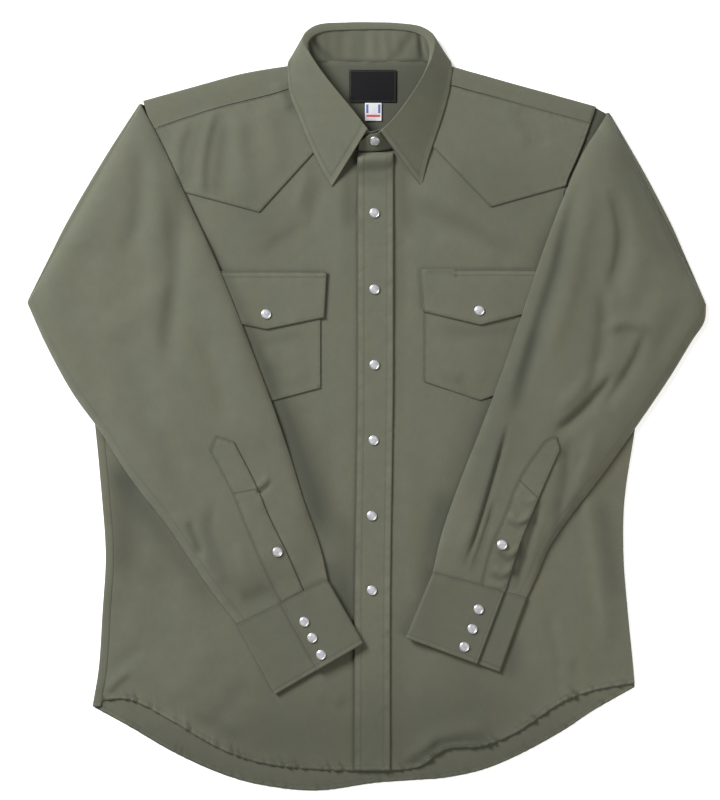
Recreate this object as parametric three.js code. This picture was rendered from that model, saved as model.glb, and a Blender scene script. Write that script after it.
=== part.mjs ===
// Western snap shirt, laid on its back with both sleeves folded over the front.
// Millimetres. +Z is up, +Y runs to the collar, and -X is the wearer's right side.
// The origin is below the middle of the whole outline, on the surface the shirt lies on.
import * as THREE from 'three';

// Cloth and the way its layers lie
const WALL = 1.0;                       // one layer of twill
const CUFF_WALL = 1.4;                  // stiffened cuff
const PITCH = 1.5;                      // from the middle of one layer to the next
const CUFF_PITCH = 1.8;
const SEAM = 0.3;                       // clearance at a sewn edge
const BACK_Z = WALL / 2;                // middle of the layer that rests on the surface
const FRONT_Z = BACK_Z + PITCH;
const TOP_Z = FRONT_Z + PITCH;          // a piece laid on the front
const MIDDLE_X = 8;                     // centre line of the buttoned front

// Front opening
const BAND = { left: 30, right: -10, taper: 3.5, top: 286, bottom: -410 };
const UNDERLAP_X = 15;                  // hidden edge of the right front
const LAP_FADE = 28;                    // the left front comes down from the underlap over this width

// Side seam brought to the front on the right side
const SEAM_IN = 9;

// Snaps
const SNAP = { radius: 5.8, height: 3.0, pearl: 4.4, lift: 0.4 };

// Sides of the body and armholes: x of the right and the left edge at each height
const SIDES = [
  { y: -338, right: -309, left: 304 },
  { y: -295, right: -302, left: 301 },
  { y: -235, right: -298, left: 295 },
  { y: -170, right: -294, left: 290 },
  { y: -106, right: -298, left: 291 },
  { y: -24, right: -306, left: 303 },
  { y: 89, right: -319, left: 318 },
];
const ARMHOLE = [
  { y: 89, right: -319, left: 318 },
  { y: 118, right: -284, left: 286 },
  { y: 150, right: -243, left: 248 },
  { y: 190, right: -216, left: 222 },
  { y: 225, right: -211, left: 221 },
  { y: 253, right: -216, left: 226 },
  { y: 279, right: -227, left: 237 },
  { y: 301, right: -237, left: 246 },
  { y: 345, right: -252, left: 261 },
];

// Hem: y of the back and the front edge along x
const HEM = [
  { x: -310, back: -338, front: -333 },
  { x: -268, back: -361, front: -331 },
  { x: -220, back: -389, front: -355 },
  { x: -168, back: -413, front: -385 },
  { x: -120, back: -427, front: -402 },
  { x: -56, back: -433.6, front: -409.5 },
  { x: 10, back: -425, front: -410.5 },
  { x: 58, back: -421.5, front: -407 },
  { x: 90, back: -419, front: -387 },
  { x: 132, back: -410, front: -383 },
  { x: 171, back: -394, front: -367 },
  { x: 221, back: -367, front: -334 },
  { x: 259, back: -342, front: -320 },
  { x: 305, back: -316, front: -312 },
];

// Shoulders: the fold of the yoke and the seam where it meets the front
const SHOULDER = [
  { x: -252, fold: 343, seam: 309 },
  { x: -200, fold: 357, seam: 327 },
  { x: -168, fold: 366, seam: 337 },
  { x: -136, fold: 375, seam: 345 },
  { x: -100, fold: 382, seam: 354 },
  { x: -75, fold: 385, seam: 362 },
  { x: 90, fold: 384, seam: 363 },
  { x: 117, fold: 377, seam: 356.5 },
  { x: 161, fold: 364, seam: 345 },
  { x: 212, fold: 350, seam: 331 },
  { x: 261, fold: 337, seam: 318 },
];
const YOKE_BACK = { side: 220, point: 188 };   // lower seam of the back yoke and its point
const NECK_X = { right: -75, left: 90 };       // neck ends of the shoulder seams
const YOKE_ENDS = { right: -245, left: 256 };  // shoulder ends of the yoke at the fold

// Lower edges of the front yokes, from armhole to neck
const FRONT_YOKE = {
  right: { armhole: 244, point: [-121, 219], neck: [-45, 306] },
  left: { armhole: 249, point: [140, 225], neck: [58, 307] },
};

// Neck seam on the fronts, from the centre to the shoulder
const NECK_FRONT = {
  right: [[UNDERLAP_X, 287], [-20, 291], [-46, 310], [-66, 337], [-77, 361]],
  left: [[BAND.right + 0.5, 286], [20, 286.8], [37, 290], [62, 308], [83, 334], [92, 362]],
};

// Collar stations from the right front round the back to the left front.
// neck is the seam on the body, top the upper edge of the stand, roll the fold of the fall
// and edge its outer edge. Stations without a roll belong to the stand alone.
const COLLAR = [
  { neck: [22, 290.5, 3.7], top: [20, 312, 20] },
  { neck: [4, 289.5, 3.7], top: [2, 309, 20], roll: [1, 311, 22.5], edge: [-39, 248, 5.2] },
  { neck: [-19, 293.5, 3.7], top: [-15, 329, 20], roll: [-14, 331, 22.5], edge: [-50, 267, 5.2] },
  { neck: [-44, 314, 3.7], top: [-34, 352, 19], roll: [-33, 354, 22], edge: [-65, 298, 5.2] },
  { neck: [-63, 340, 3.7], top: [-51, 375, 18], roll: [-51, 377, 21], edge: [-76, 326, 5.2] },
  { neck: [-72.5, 362, 4.0], top: [-64, 396, 16], roll: [-65, 398, 19], edge: [-86, 352, 5.2] },
  { neck: [-69.5, 379, 3.6], top: [-67, 408, 13], roll: [-72, 410, 15.5], edge: [-88.5, 371, 5.2] },
  { neck: [-63, 385.5, 3], top: [-62, 417, 10], roll: [-69, 420, 12.5], edge: [-87, 390, 4.6] },
  { neck: [-47, 388.5, 2.2], top: [-49, 423.5, 7.6], roll: [-56, 429.5, 9], edge: [-72, 394, 1.4] },
  { neck: [-18, 389, 2.0], top: [-19, 426, 6.2], roll: [-21, 432.8, 6.3], edge: [-30, 386, 0.56] },
  { neck: [11, 388.5, 2.0], top: [8, 426.5, 6], roll: [7, 433, 5.8], edge: [8, 384, 0.56] },
  { neck: [40, 389, 2.0], top: [34, 426, 6.4], roll: [35, 432, 6.4], edge: [44, 386, 0.56] },
  { neck: [66, 388.5, 2.2], top: [57, 422, 8.6], roll: [63, 427, 10], edge: [82, 395, 1.4] },
  { neck: [80, 382, 3], top: [70, 412, 13], roll: [76, 416, 14.5], edge: [95, 388, 4.6] },
  { neck: [87.5, 362, 4.0], top: [71, 391, 18], roll: [74, 394, 20.5], edge: [94, 364, 5.2] },
  { neck: [80, 336, 3.7], top: [62, 368, 20.5], roll: [63, 370, 23.5], edge: [90, 344, 5.2] },
  { neck: [59, 312, 3.8], top: [46, 343, 21.5], roll: [47, 344, 24.5], edge: [80, 312, 5.2] },
  { neck: [34, 293, 5.0], top: [29, 321, 22], roll: [30, 322, 25], edge: [68, 275, 5.2] },
  { neck: [12, 288, 5.9], top: [14, 307, 22.5], roll: [16, 308, 25], edge: [62, 248, 5.2] },
  { neck: [1, 287.7, 6.0], top: [3, 304.5, 19.5] },
  { neck: [-9, 288.7, 6.0], top: [-8, 297, 13] },
];

// Pockets and flaps: side x, top y, y of the lower corners and of the middle point
const POCKETS = {
  right: { left: -171, right: -52, top: 140, low: 21, point: 5, middle: -112 },
  left: { left: 65, right: 190, top: 140, low: 28, point: 7, middle: 128 },
};
const FLAPS = {
  right: { left: -179, right: -45, narrow: 3, top: 152, low: 101, point: 87, middle: -113 },
  left: { left: 60, right: 193, narrow: 3.5, top: 154, low: 108, point: 92, middle: 128 },
};

// Sleeves from the fold to the cuff: the overarm and the underarm edge of each section
const SLEEVES = {
  right: [
    { over: [-255, 342], under: [-383, 118] },
    { over: [-228, 290], under: [-362, 71] },
    { over: [-203, 236], under: [-332, 16] },
    { over: [-171, 167], under: [-301, -27] },
    { over: [-141, 94], under: [-265, -82] },
    { over: [-107, 5], under: [-225, -133] },
    { over: [-86, -56], under: [-201, -169] },
    { over: [-71, -105], under: [-178, -203] },
    { over: [-52, -160], under: [-156, -232] },
    { over: [-44, -195], under: [-145, -246] },
  ],
  left: [
    { over: [273, 332], under: [383, 116] },
    { over: [246, 289], under: [369, 77] },
    { over: [227, 247], under: [342, 33] },
    { over: [200, 177], under: [306, -20] },
    { over: [174, 99], under: [268, -73] },
    { over: [149, 27], under: [241, -108] },
    { over: [125, -36], under: [220, -136] },
    { over: [103, -92], under: [204, -161] },
    { over: [85, -144], under: [192, -190] },
    { over: [75, -187], under: [180, -216] },
  ],
};
const FOLD_BOW = 5;                     // outward bow of the folded edge at the elbow
const PUFF = 4.0;                       // air between the two layers of a sleeve
const SLEEVE_LIP = 3;                   // width of the turn at a sleeve's edges
const ARM_WIDTH = 250;                  // the sleeve at the fold

// Largest folds of the cloth: ends, half width and height, a trough is negative
const SLEEVE_FOLDS = {
  right: [
    { from: [-220, 218], to: [-217, 150], width: 16, height: -1.5 },
    { from: [-217, 150], to: [-224, 56], width: 18, height: -1.2 },
    { from: [-178, -152], to: [-133, -217], width: 12, height: -1.4 },
    { from: [-262, 250], to: [-300, 130], width: 26, height: 1.2 },
    { from: [-170, 60], to: [-215, -60], width: 22, height: 1.1 },
  ],
  left: [
    { from: [274, 236], to: [276, 145], width: 18, height: -1.5 },
    { from: [262, 122], to: [248, 22], width: 16, height: -1.4 },
    { from: [311, 90], to: [268, 0], width: 14, height: -1.2 },
    { from: [272, 32], to: [215, -25], width: 13, height: -1.6 },
    { from: [236, 236], to: [219, 156], width: 14, height: 1.2 },
    { from: [145, -72], to: [110, -180], width: 8, height: 1.2 },
  ],
};
const FRONT_FOLDS = [
  { from: [-62, 268], to: [-76, 225], width: 14, height: 0.7 },
  { from: [50, 241], to: [109, 214], width: 16, height: 0.7 },
  { from: [259, -110], to: [294, -285], width: 20, height: 0.7 },
  { from: [-40, -250], to: [-190, -330], width: 30, height: 0.6 },
  { from: [60, -320], to: [170, -250], width: 30, height: 0.6 },
];

// Bands over the sleeve openings: edges of each section from the point to the cuff
const SLEEVE_BANDS = {
  right: [
    { out: [-171.5, -39], in: [-164, -36.5] },
    { out: [-174, -52], in: [-150, -41] },
    { out: [-151, -96], in: [-123, -91] },
    { out: [-135, -135], in: [-110, -123] },
    { out: [-119, -173], in: [-90, -164] },
    { out: [-98, -216], in: [-72, -203] },
  ],
  left: [
    { out: [214, -36], in: [209.5, -36] },
    { out: [217, -50], in: [192, -50] },
    { out: [194, -98], in: [172, -84] },
    { out: [184, -124], in: [157, -112] },
    { out: [171, -154], in: [144, -144] },
    { out: [157, -203], in: [130, -191] },
  ],
};

// Cuffs: corners on the sleeve and at the hand, and where the overlap's free edge lies across
const CUFFS = {
  right: { inner: [-44, -196], outer: [-145, -247], innerHand: [-4, -266], outerHand: [-103, -324], lap: 0.52 },
  left: { inner: [75, -188], outer: [180, -217], innerHand: [45, -260], outerHand: [150, -299], lap: 0.755 },
};
const CUFF_UNDERLAP = 0.2;              // share of the cuff's width hidden under the overlap

// Neck label and size tag
const LABEL = { left: -19, right: 33.5, low: 343.5, top: 379.5 };
const TAG = { left: -1.5, right: 17, low: 322.5, top: 342.5 };

// Places of the snaps
const FRONT_SNAPS = [[9, 218], [9, 132], [9, 47], [8, -38], [6, -123], [6, -207]];
const NECK_SNAP = { along: 18.35, across: 0.62 };    // station of the stand, and share of its height
const POCKET_SNAPS = { right: [-113, 104], left: [127, 108] };
const SLEEVE_SNAPS = { right: [-100, -163], left: [152, -155] };
const CUFF_SNAPS = {
  right: [[-70, -242], [-61, -260], [-51, -279]],
  left: [[126, -228], [119, -250], [110, -270]],
};

// Colours and finishes
const TWILL = { color: 0x6f7263, roughness: 0.95, metalness: 0 };
const TWILL_SLEEVE = { color: 0x74776a, roughness: 0.95, metalness: 0 };
const PEARL = { color: 0xcbcbcc, roughness: 0.2, metalness: 0.1 };
const LABEL_CLOTH = { color: 0x1c1c1d, roughness: 0.8, metalness: 0 };
const TAG_CLOTH = { color: 0xe6e5e1, roughness: 0.8, metalness: 0 };

// Small helpers
const mix = (a, b, t) => a + (b - a) * t;
const mixPoint = (a, b, t) => a.map((value, axis) => mix(value, b[axis], t));
const clamp01 = (t) => Math.min(1, Math.max(0, t));
const steps = (count, from = 0, to = 1) =>
  Array.from({ length: count + 1 }, (_, index) => mix(from, to, index / count));

function ease(from, to, value) {
  const t = clamp01((value - from) / (to - from));
  return t * t * (3 - 2 * t);
}

// A smooth function through a table: input column, output column
function through(table, input, output) {
  const rows = [...table].sort((a, b) => a[input] - b[input]);
  const slope = (i, j) => (rows[j][output] - rows[i][output]) / (rows[j][input] - rows[i][input]);
  const last = rows.length - 1;
  return (value) => {
    let i = 0;
    while (i < last - 1 && value > rows[i + 1][input]) i += 1;
    const span = rows[i + 1][input] - rows[i][input];
    const t = (value - rows[i][input]) / span;
    const start = slope(Math.max(0, i - 1), i + 1) * span;
    const end = slope(i, Math.min(last, i + 2)) * span;
    if (t < 0) return rows[i][output] + start * t;
    if (t > 1) return rows[i + 1][output] + end * (t - 1);
    const t2 = t * t;
    const t3 = t2 * t;
    return rows[i][output] * (2 * t3 - 3 * t2 + 1) + start * (t3 - 2 * t2 + t)
      + rows[i + 1][output] * (3 * t2 - 2 * t3) + end * (t3 - t2);
  };
}

// A smooth line through a short list of points, called with 0 to 1
function lineThrough(points) {
  const curve = new THREE.CatmullRomCurve3(
    points.map((p) => new THREE.Vector3(p[0], p[1], p[2] ?? 0)), false, 'centripetal');
  return (t) => curve.getPoint(clamp01(t)).toArray().slice(0, points[0].length);
}

// The surface between four edges, each called with 0 to 1
function between(bottom, top, start, end) {
  const corners = [bottom(0), bottom(1), top(0), top(1)];
  return (u, v) => [0, 1].map((axis) =>
    mix(bottom(u)[axis], top(u)[axis], v) + mix(start(v)[axis], end(v)[axis], u)
    - mix(mix(corners[0][axis], corners[1][axis], u), mix(corners[2][axis], corners[3][axis], u), v));
}

// A closed wall of cloth on a grid of middle points. A ring closes on itself along each row.
function cloth(rows, wall = WALL, ring = false) {
  const height = rows.length;
  const width = rows[0].length;
  const column = (i) => (ring ? (i + width) % width : Math.min(width - 1, Math.max(0, i)));
  const row = (j) => Math.min(height - 1, Math.max(0, j));
  const at = (i, j) => rows[row(j)][column(i)];
  const positions = [];
  for (const side of [1, -1]) {
    for (let j = 0; j < height; j += 1) {
      for (let i = 0; i < width; i += 1) {
        const across = at(i + 1, j).clone().sub(at(i - 1, j));
        const along = at(i, j + 1).clone().sub(at(i, j - 1));
        const normal = across.cross(along).normalize();
        const point = at(i, j).clone().addScaledVector(normal, side * wall / 2);
        positions.push(point.x, point.y, point.z);
      }
    }
  }
  const index = [];
  const upper = (i, j) => j * width + column(i);
  const lower = (i, j) => upper(i, j) + width * height;
  const quad = (a, b, c, d) => index.push(a, b, c, a, c, d);
  const cells = ring ? width : width - 1;
  for (let j = 0; j < height - 1; j += 1) {
    for (let i = 0; i < cells; i += 1) {
      quad(upper(i, j), upper(i + 1, j), upper(i + 1, j + 1), upper(i, j + 1));
      quad(lower(i, j), lower(i, j + 1), lower(i + 1, j + 1), lower(i + 1, j));
    }
    if (!ring) {
      quad(lower(0, j), upper(0, j), upper(0, j + 1), lower(0, j + 1));
      quad(upper(width - 1, j), lower(width - 1, j), lower(width - 1, j + 1), upper(width - 1, j + 1));
    }
  }
  for (let i = 0; i < cells; i += 1) {
    quad(upper(i, 0), lower(i, 0), lower(i + 1, 0), upper(i + 1, 0));
    quad(lower(i, height - 1), upper(i, height - 1), upper(i + 1, height - 1), lower(i + 1, height - 1));
  }
  const geometry = new THREE.BufferGeometry();
  geometry.setAttribute('position', new THREE.Float32BufferAttribute(positions, 3));
  geometry.setIndex(index);
  geometry.computeVertexNormals();
  return geometry;
}

// A sheet from a plan map and a height, over two lists of steps
function sheet(plan, height, across, along, wall = WALL) {
  return cloth(along.map((v) => across.map((u) => {
    const [x, y] = plan(u, v);
    return new THREE.Vector3(x, y, height(x, y, u, v));
  })), wall);
}

// Sum of soft folds at a place
function folds(table, x, y) {
  return table.reduce((sum, fold) => {
    const [ax, ay] = fold.from;
    const [dx, dy] = [fold.to[0] - ax, fold.to[1] - ay];
    const t = clamp01(((x - ax) * dx + (y - ay) * dy) / (dx * dx + dy * dy));
    const distance = Math.hypot(x - ax - dx * t, y - ay - dy * t);
    return sum + fold.height * Math.exp(-((distance / fold.width) ** 2));
  }, 0);
}

// Lines of the body
const backHem = through(HEM, 'x', 'back');
const frontHem = through(HEM, 'x', 'front');
const shoulderFold = through(SHOULDER, 'x', 'fold');
const shoulderSeam = through(SHOULDER, 'x', 'seam');
const body = {};
for (const side of ['right', 'left']) {
  const flank = through(SIDES, 'y', side);
  const armhole = through(ARMHOLE, 'y', side);
  body[side] = (y) => (y < ARMHOLE[0].y ? flank(y) : armhole(y));
}
const seamIn = (y) => SEAM_IN * (1 - ease(50, ARMHOLE[0].y, y));
// Height of the place a share of the way up the armhole, in equal steps of its seam
const ARMHOLE_STEPS = [89, 120, 150, 185, 220, 250, 280, 314, 344];
const armholeY = (step) => {
  const low = Math.min(ARMHOLE_STEPS.length - 2, Math.max(0, Math.floor(step)));
  return mix(ARMHOLE_STEPS[low], ARMHOLE_STEPS[low + 1], step - low);
};
const YOKE_STEP = 4;                    // the yoke seam meets the armhole here
const SHOULDER_STEP = 7;                // and the shoulder seam here
const yokeBackSeam = (x) => mix(YOKE_BACK.point, YOKE_BACK.side,
  (x - MIDDLE_X) / (body[x < MIDDLE_X ? 'right' : 'left'](YOKE_BACK.side) - MIDDLE_X));

// Heights of the layers at a place
const frontHeight = (x, y) => FRONT_Z + folds(FRONT_FOLDS, x, y);
const leftFrontHeight = (x, y) =>
  frontHeight(x, y) + PITCH * (1 - ease(UNDERLAP_X + 2, UNDERLAP_X + 2 + LAP_FADE, x));
const bandEdge = (y, side) => BAND[side] - BAND.taper * (1 - ease(-260, 60, y));

// The back yoke rises over the collar fall near the neck, in straight stretches
const NECK_RISE = [345, 360, 376];
const neckHeight = (y) => BACK_Z + PITCH * clamp01((y - NECK_RISE[0]) / (NECK_RISE[2] - NECK_RISE[0]));

// How far a place lies outside a rectangle
function outside(x, y, { left, right, low, top }) {
  return Math.hypot(Math.max(left - x, 0, x - right), Math.max(low - y, 0, y - top));
}

// Height of the lower layer of what is folded over the front
function overHeight(x, y) {
  const onYoke = 1.4 * ease(165, 205, y);
  const onPocket = Math.max(...Object.values(FLAPS).map((flap) =>
    2.9 * (1 - ease(25, 75, outside(x, y, { ...flap, low: POCKETS.left.point })))));
  const onBand = 3.4 * (1 - ease(34, 75, Math.abs(x - MIDDLE_X)));
  return FRONT_Z + 1.7 + Math.max(onYoke, onPocket, onBand);
}

// Back panel, from the hem to the yoke seam, with its right edge brought over to the front
function backPanel() {
  const hemStart = -309;
  const hemEnd = 303.5;
  const armpit = 0.76;
  const bottom = (u) => [mix(hemStart, hemEnd, u), backHem(mix(hemStart, hemEnd, u))];
  const sideRoute = (side, start) => (v) => {
    const y = v < armpit ? mix(start, ARMHOLE[0].y, v / armpit)
      : armholeY(YOKE_STEP * (v - armpit) / (1 - armpit)) - (v === 1 ? SEAM : 0);
    return [body[side](y), y];
  };
  const right = sideRoute('right', backHem(hemStart));
  const left = sideRoute('left', backHem(hemEnd));
  const top = (u) => {
    const x = u < 0.5 ? mix(right(1)[0], MIDDLE_X, u * 2) : mix(MIDDLE_X, left(1)[0], u * 2 - 1);
    return [x, yokeBackSeam(x) - SEAM];
  };
  const plan = between(bottom, top, right, left);
  const along = [...steps(10, 0, armpit), ...steps(YOKE_STEP, armpit, 1).slice(1)];
  const across = steps(18);
  const rows = along.map((v) => {
    const flat = across.map((u) => new THREE.Vector3(...plan(u, v), BACK_Z));
    const edge = flat[0];
    const inward = seamIn(edge.y);
    const turn = PITCH / 2;
    const reach = inward / SEAM_IN;
    const curl = [
      [inward, FRONT_Z],
      [turn, FRONT_Z],
      [0, BACK_Z + turn],
    ].map(([dx, z]) => new THREE.Vector3(edge.x + dx * reach, edge.y, mix(BACK_Z + 0.15, z, reach)));
    const start = flat.map((p, i) => (i === 0 ? new THREE.Vector3(p.x + turn, p.y, p.z) : p));
    return reach > 0 ? [...curl, ...start] : [...curl.map((c, i) =>
      new THREE.Vector3(edge.x + 0.02 * i, edge.y, BACK_Z)), ...start];
  });
  return cloth(rows);
}

// One front, from the side seam and armhole to the centre edge and neck seam
function frontPanel(side) {
  const sign = side === 'right' ? 1 : -1;
  const inset = (y) => (side === 'right' ? seamIn(y) + 5 * SEAM : 0);
  const edgeX = (y) => body[side](y) + sign * inset(y);
  const cornerX = edgeX(frontHem(body[side](-330)));
  const neck = lineThrough(NECK_FRONT[side]);
  const centreX = (y) => (side === 'right' ? UNDERLAP_X : bandEdge(y, 'right') + 0.5);
  const hemY = frontHem(cornerX);
  const armpit = ARMHOLE[0].y;
  const levels = { armpit: 0.6, neck: 0.6 + 0.4 * YOKE_STEP / SHOULDER_STEP };
  const outer = (v) => {
    if (v < levels.armpit) {
      const y = mix(hemY, armpit, v / levels.armpit);
      return [edgeX(y), y];
    }
    const y = armholeY(SHOULDER_STEP * (v - levels.armpit) / (1 - levels.armpit));
    return [body[side](y) + sign * inset(armpit), y];
  };
  const inner = (v) => {
    if (v > levels.neck) return neck((v - levels.neck) / (1 - levels.neck));
    const y = mix(frontHem(MIDDLE_X), NECK_FRONT[side][0][1], v / levels.neck);
    return [centreX(y), y];
  };
  const hem = (u) => {
    const x = mix(cornerX, centreX(BAND.bottom), u);
    return [x, frontHem(x)];
  };
  const shoulder = (u) => {
    const x = mix(outer(1)[0], inner(1)[0], u);
    return [x, mix(outer(1)[1], shoulderSeam(x), ease(0, 0.1, u)) - SEAM];
  };
  const plan = between(hem, shoulder, outer, inner);
  const across = side === 'right' ? steps(12) : [...steps(9, 0, 0.82), 0.908, 0.955, 1];
  const along = [...steps(10, 0, levels.armpit), ...steps(4, levels.armpit, levels.neck).slice(1),
    ...steps(SHOULDER_STEP - YOKE_STEP, levels.neck, 1).slice(1)];
  return sheet(plan, side === 'right' ? frontHeight : leftFrontHeight, across, along);
}

// One pointed front yoke, laid on the front
function frontYoke(side) {
  const { armhole, point, neck } = FRONT_YOKE[side];
  const outer = (v) => {
    const y = mix(armhole, shoulderSeam(body[side](314)), v);
    return [body[side](y), y];
  };
  const neckLine = lineThrough(NECK_FRONT[side]);
  const neckStart = [...Array(101).keys()].map((k) => k / 100)
    .find((t) => neckLine(t)[1] > neck[1]);
  const inner = (v) => neckLine(mix(neckStart, 1, v));
  const lower = (u) => (u < 0.5 ? mixPoint(outer(0), point, u * 2) : mixPoint(point, inner(0), u * 2 - 1));
  const upper = (u) => {
    const x = mix(outer(1)[0], inner(1)[0], u);
    return [x, shoulderSeam(x) - SEAM];
  };
  const height = (x, y) => (side === 'right' ? frontHeight : leftFrontHeight)(x, y) + PITCH;
  return sheet(between(lower, upper, outer, inner), height, steps(10), steps(5));
}

// Back yoke: flat under the neck, brought over the shoulders on both sides of it.
// Each line runs from the lower seam towards the collar; past the fold it comes back on top.
function backYoke() {
  const shoulders = [-1, -0.8, -0.6, -0.42, -0.25, -0.1, 0];
  const neckXs = [NECK_X.right, -70, -63, -47, -18, MIDDLE_X, 40, 66, 79, 85, NECK_X.left];
  const backNeck = through([
    { x: -70, y: 378 }, { x: -63, y: 384 }, { x: -47, y: 387 }, { x: MIDDLE_X, y: 387 },
    { x: 66, y: 387 }, { x: 79, y: 384 }, { x: 85, y: 378 },
  ], 'x', 'y');
  const columns = [
    ...shoulders.slice(0, -1).map((k) => mix(NECK_X.right, YOKE_ENDS.right, -k)),
    ...neckXs,
    ...shoulders.slice(0, -1).reverse().map((k) => mix(NECK_X.left, YOKE_ENDS.left, -k)),
  ];
  const flatSteps = 5;
  const turnRows = 4;
  const rowCount = flatSteps + turnRows;
  const widen = (x, y) => {
    const side = x < MIDDLE_X ? 'right' : 'left';
    const full = YOKE_ENDS[side];
    const share = clamp01((x - NECK_X[side]) / (full - NECK_X[side]));
    return x + (body[side](y) - full) * share;
  };
  const lowHeight = (x, y) => mix(BACK_Z, neckHeight(y), 1 - ease(70, 84, Math.abs(x - MIDDLE_X)));
  const turn = 4;
  return cloth(steps(rowCount, 0, rowCount).map((row) => columns.map((x) => {
    const fold = shoulderFold(x) - turn / 2;
    const startX = widen(x, YOKE_BACK.side);
    const start = yokeBackSeam(startX);
    const flatPoint = (y, share) => new THREE.Vector3(mix(startX, widen(x, y), share), y, lowHeight(x, y));
    if (x > NECK_X.right && x < NECK_X.left) {
      const y = row <= flatSteps ? mix(start, NECK_RISE[0] - 10, row / flatSteps)
        : [...NECK_RISE, backNeck(x)][row - flatSteps - 1];
      return flatPoint(y, Math.min(1, row / flatSteps));
    }
    if (row <= flatSteps) {
      return flatPoint(mix(start, fold, row / flatSteps), row / flatSteps);
    }
    const seamY = shoulderSeam(widen(x, shoulderSeam(x))) + 2 * SEAM;
    const [y, z] = [
      [fold + turn / 2, mix(lowHeight(x, fold), TOP_Z, 0.5)],
      [fold, TOP_Z],
      [mix(fold, seamY, 0.5), TOP_Z],
      [seamY, TOP_Z],
    ][row - flatSteps - 1];
    return new THREE.Vector3(widen(x, y), y, z);
  })));
}

// Front band on the left front
function placket() {
  const plan = (u, v) => {
    const y = mix(BAND.bottom, BAND.top, v);
    return [mix(bandEdge(y, 'right'), bandEdge(y, 'left'), u), y];
  };
  return sheet(plan, (x, y) => leftFrontHeight(Math.min(x, UNDERLAP_X), y) + PITCH, steps(2), steps(16));
}

// Collar stand, from the neck seam to its upper edge
function collarStand() {
  const neck = lineThrough(COLLAR.map((row) => row.neck));
  const top = lineThrough(COLLAR.map((row) => row.top));
  return cloth(steps(3).map((w) => steps(36).map((t) =>
    new THREE.Vector3(...mixPoint(neck(t), top(t), w)))));
}

// Collar fall: over the roll and down to the outer edge
function collarFall() {
  const stations = COLLAR.filter((row) => row.roll);
  const roll = lineThrough(stations.map((row) => row.roll));
  const edge = lineThrough(stations.map((row) => row.edge));
  const top = lineThrough(stations.map((row) => row.top));
  const hang = { under: 1.8, over: 1.1 };
  const profile = [-1, -0.4, 0, 0.1, 0.25, 0.45, 0.7, 1];
  return cloth(profile.map((w) => steps(34).map((t) => {
    const [start, end] = [roll(t), edge(t)];
    if (w < 0) {
      const seam = mixPoint(top(t), start, 0.45);
      seam[2] += 1.1;
      const point = mixPoint(seam, start, 1 + w);
      point[2] += w > -1 ? 0.4 : 0;
      return new THREE.Vector3(...point);
    }
    const power = mix(hang.under, hang.over, ease(1, 4.5, end[2]));
    const z = end[2] + (start[2] - end[2]) * (1 - w) ** power;
    return new THREE.Vector3(mix(start[0], end[0], w), mix(start[1], end[1], w), z);
  })));
}

// Height of a sleeve's upper layer
const sleeveTop = (side, x, y) =>
  overHeight(x, y) + PITCH + PUFF + folds(SLEEVE_FOLDS[side], x, y);

// Sleeve: a flat tube that leaves the armhole under the fold, turns over it and runs to the cuff
function sleeve(side) {
  const sections = SLEEVES[side];
  const over = lineThrough(sections.map((row) => row.over));
  const under = lineThrough(sections.map((row) => row.under));
  const [foldOver, foldUnder] = [over(0), under(0)];
  const out = side === 'right' ? -1 : 1;
  const foldLine = new THREE.Vector2(foldUnder[0] - foldOver[0], foldUnder[1] - foldOver[1]);
  const outward = new THREE.Vector2(-foldLine.y, foldLine.x).normalize();
  if (outward.x * out < 0) outward.negate();
  const columns = 9;
  const crossings = (width) => steps(columns - 1, SLEEVE_LIP / width, 1 - SLEEVE_LIP / width);
  const rows = [];
  const addRow = (plan, levels, width) => {
    const across = crossings(width);
    const place = (f, level) => {
      const [x, y] = plan(f, level);
      return new THREE.Vector3(x, y, levels(x, y, level, f));
    };
    rows.push([place(0, 0), ...across.map((f) => place(f, 1)), place(1, 0),
      ...[...across].reverse().map((f) => place(f, -1))]);
  };
  const foldAt = (f) => {
    const [x, y] = mixPoint(foldOver, foldUnder, f);
    const bow = FOLD_BOW * Math.sin(Math.PI * f) - 2.9;
    return [x + outward.x * bow, y + outward.y * bow];
  };
  const armholeAt = (f) => {
    const y = armholeY((1 - f) * (ARMHOLE_STEPS.length - 1));
    return [body[side](y) + out * 3 * SEAM, y];
  };
  const layer = PITCH / 2;
  const underMiddle = BACK_Z + layer;
  for (const t of [0, 0.6]) {
    addRow((f) => mixPoint(armholeAt(f), foldAt(f), t), (x, y, level) => underMiddle - level * layer,
      ARM_WIDTH);
  }
  for (const angle of [-90, -30, 30, 90].map(THREE.MathUtils.degToRad)) {
    const radius = (f) => (overHeight(...foldAt(f)) + layer - underMiddle) / 2;
    addRow((f, level) => {
      const reach = (radius(f) + level * layer) * Math.cos(angle);
      const [x, y] = foldAt(f);
      return [x + outward.x * reach, y + outward.y * reach];
    }, (x, y, level, f) => underMiddle + radius(f) + (radius(f) + level * layer) * Math.sin(angle),
    ARM_WIDTH);
  }
  for (const v of steps(14).slice(1)) {
    const [a, b] = [over(v), under(v)];
    const width = Math.hypot(a[0] - b[0], a[1] - b[1]);
    const settle = ease(0, 0.12, v);
    addRow((f) => mixPoint(a, b, f), (x, y, level, f) => {
      const low = overHeight(x, y);
      if (level < 0) return low;
      const dome = Math.min(1, 4.5 * Math.sin(Math.PI * f)) * settle;
      const top = mix(low + PITCH, sleeveTop(side, x, y), dome * (1 - 0.55 * ease(0.88, 1, v)));
      return level > 0 ? Math.max(top, low + PITCH) : low + layer;
    }, width);
  }
  return cloth(rows, WALL, true);
}

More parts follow.
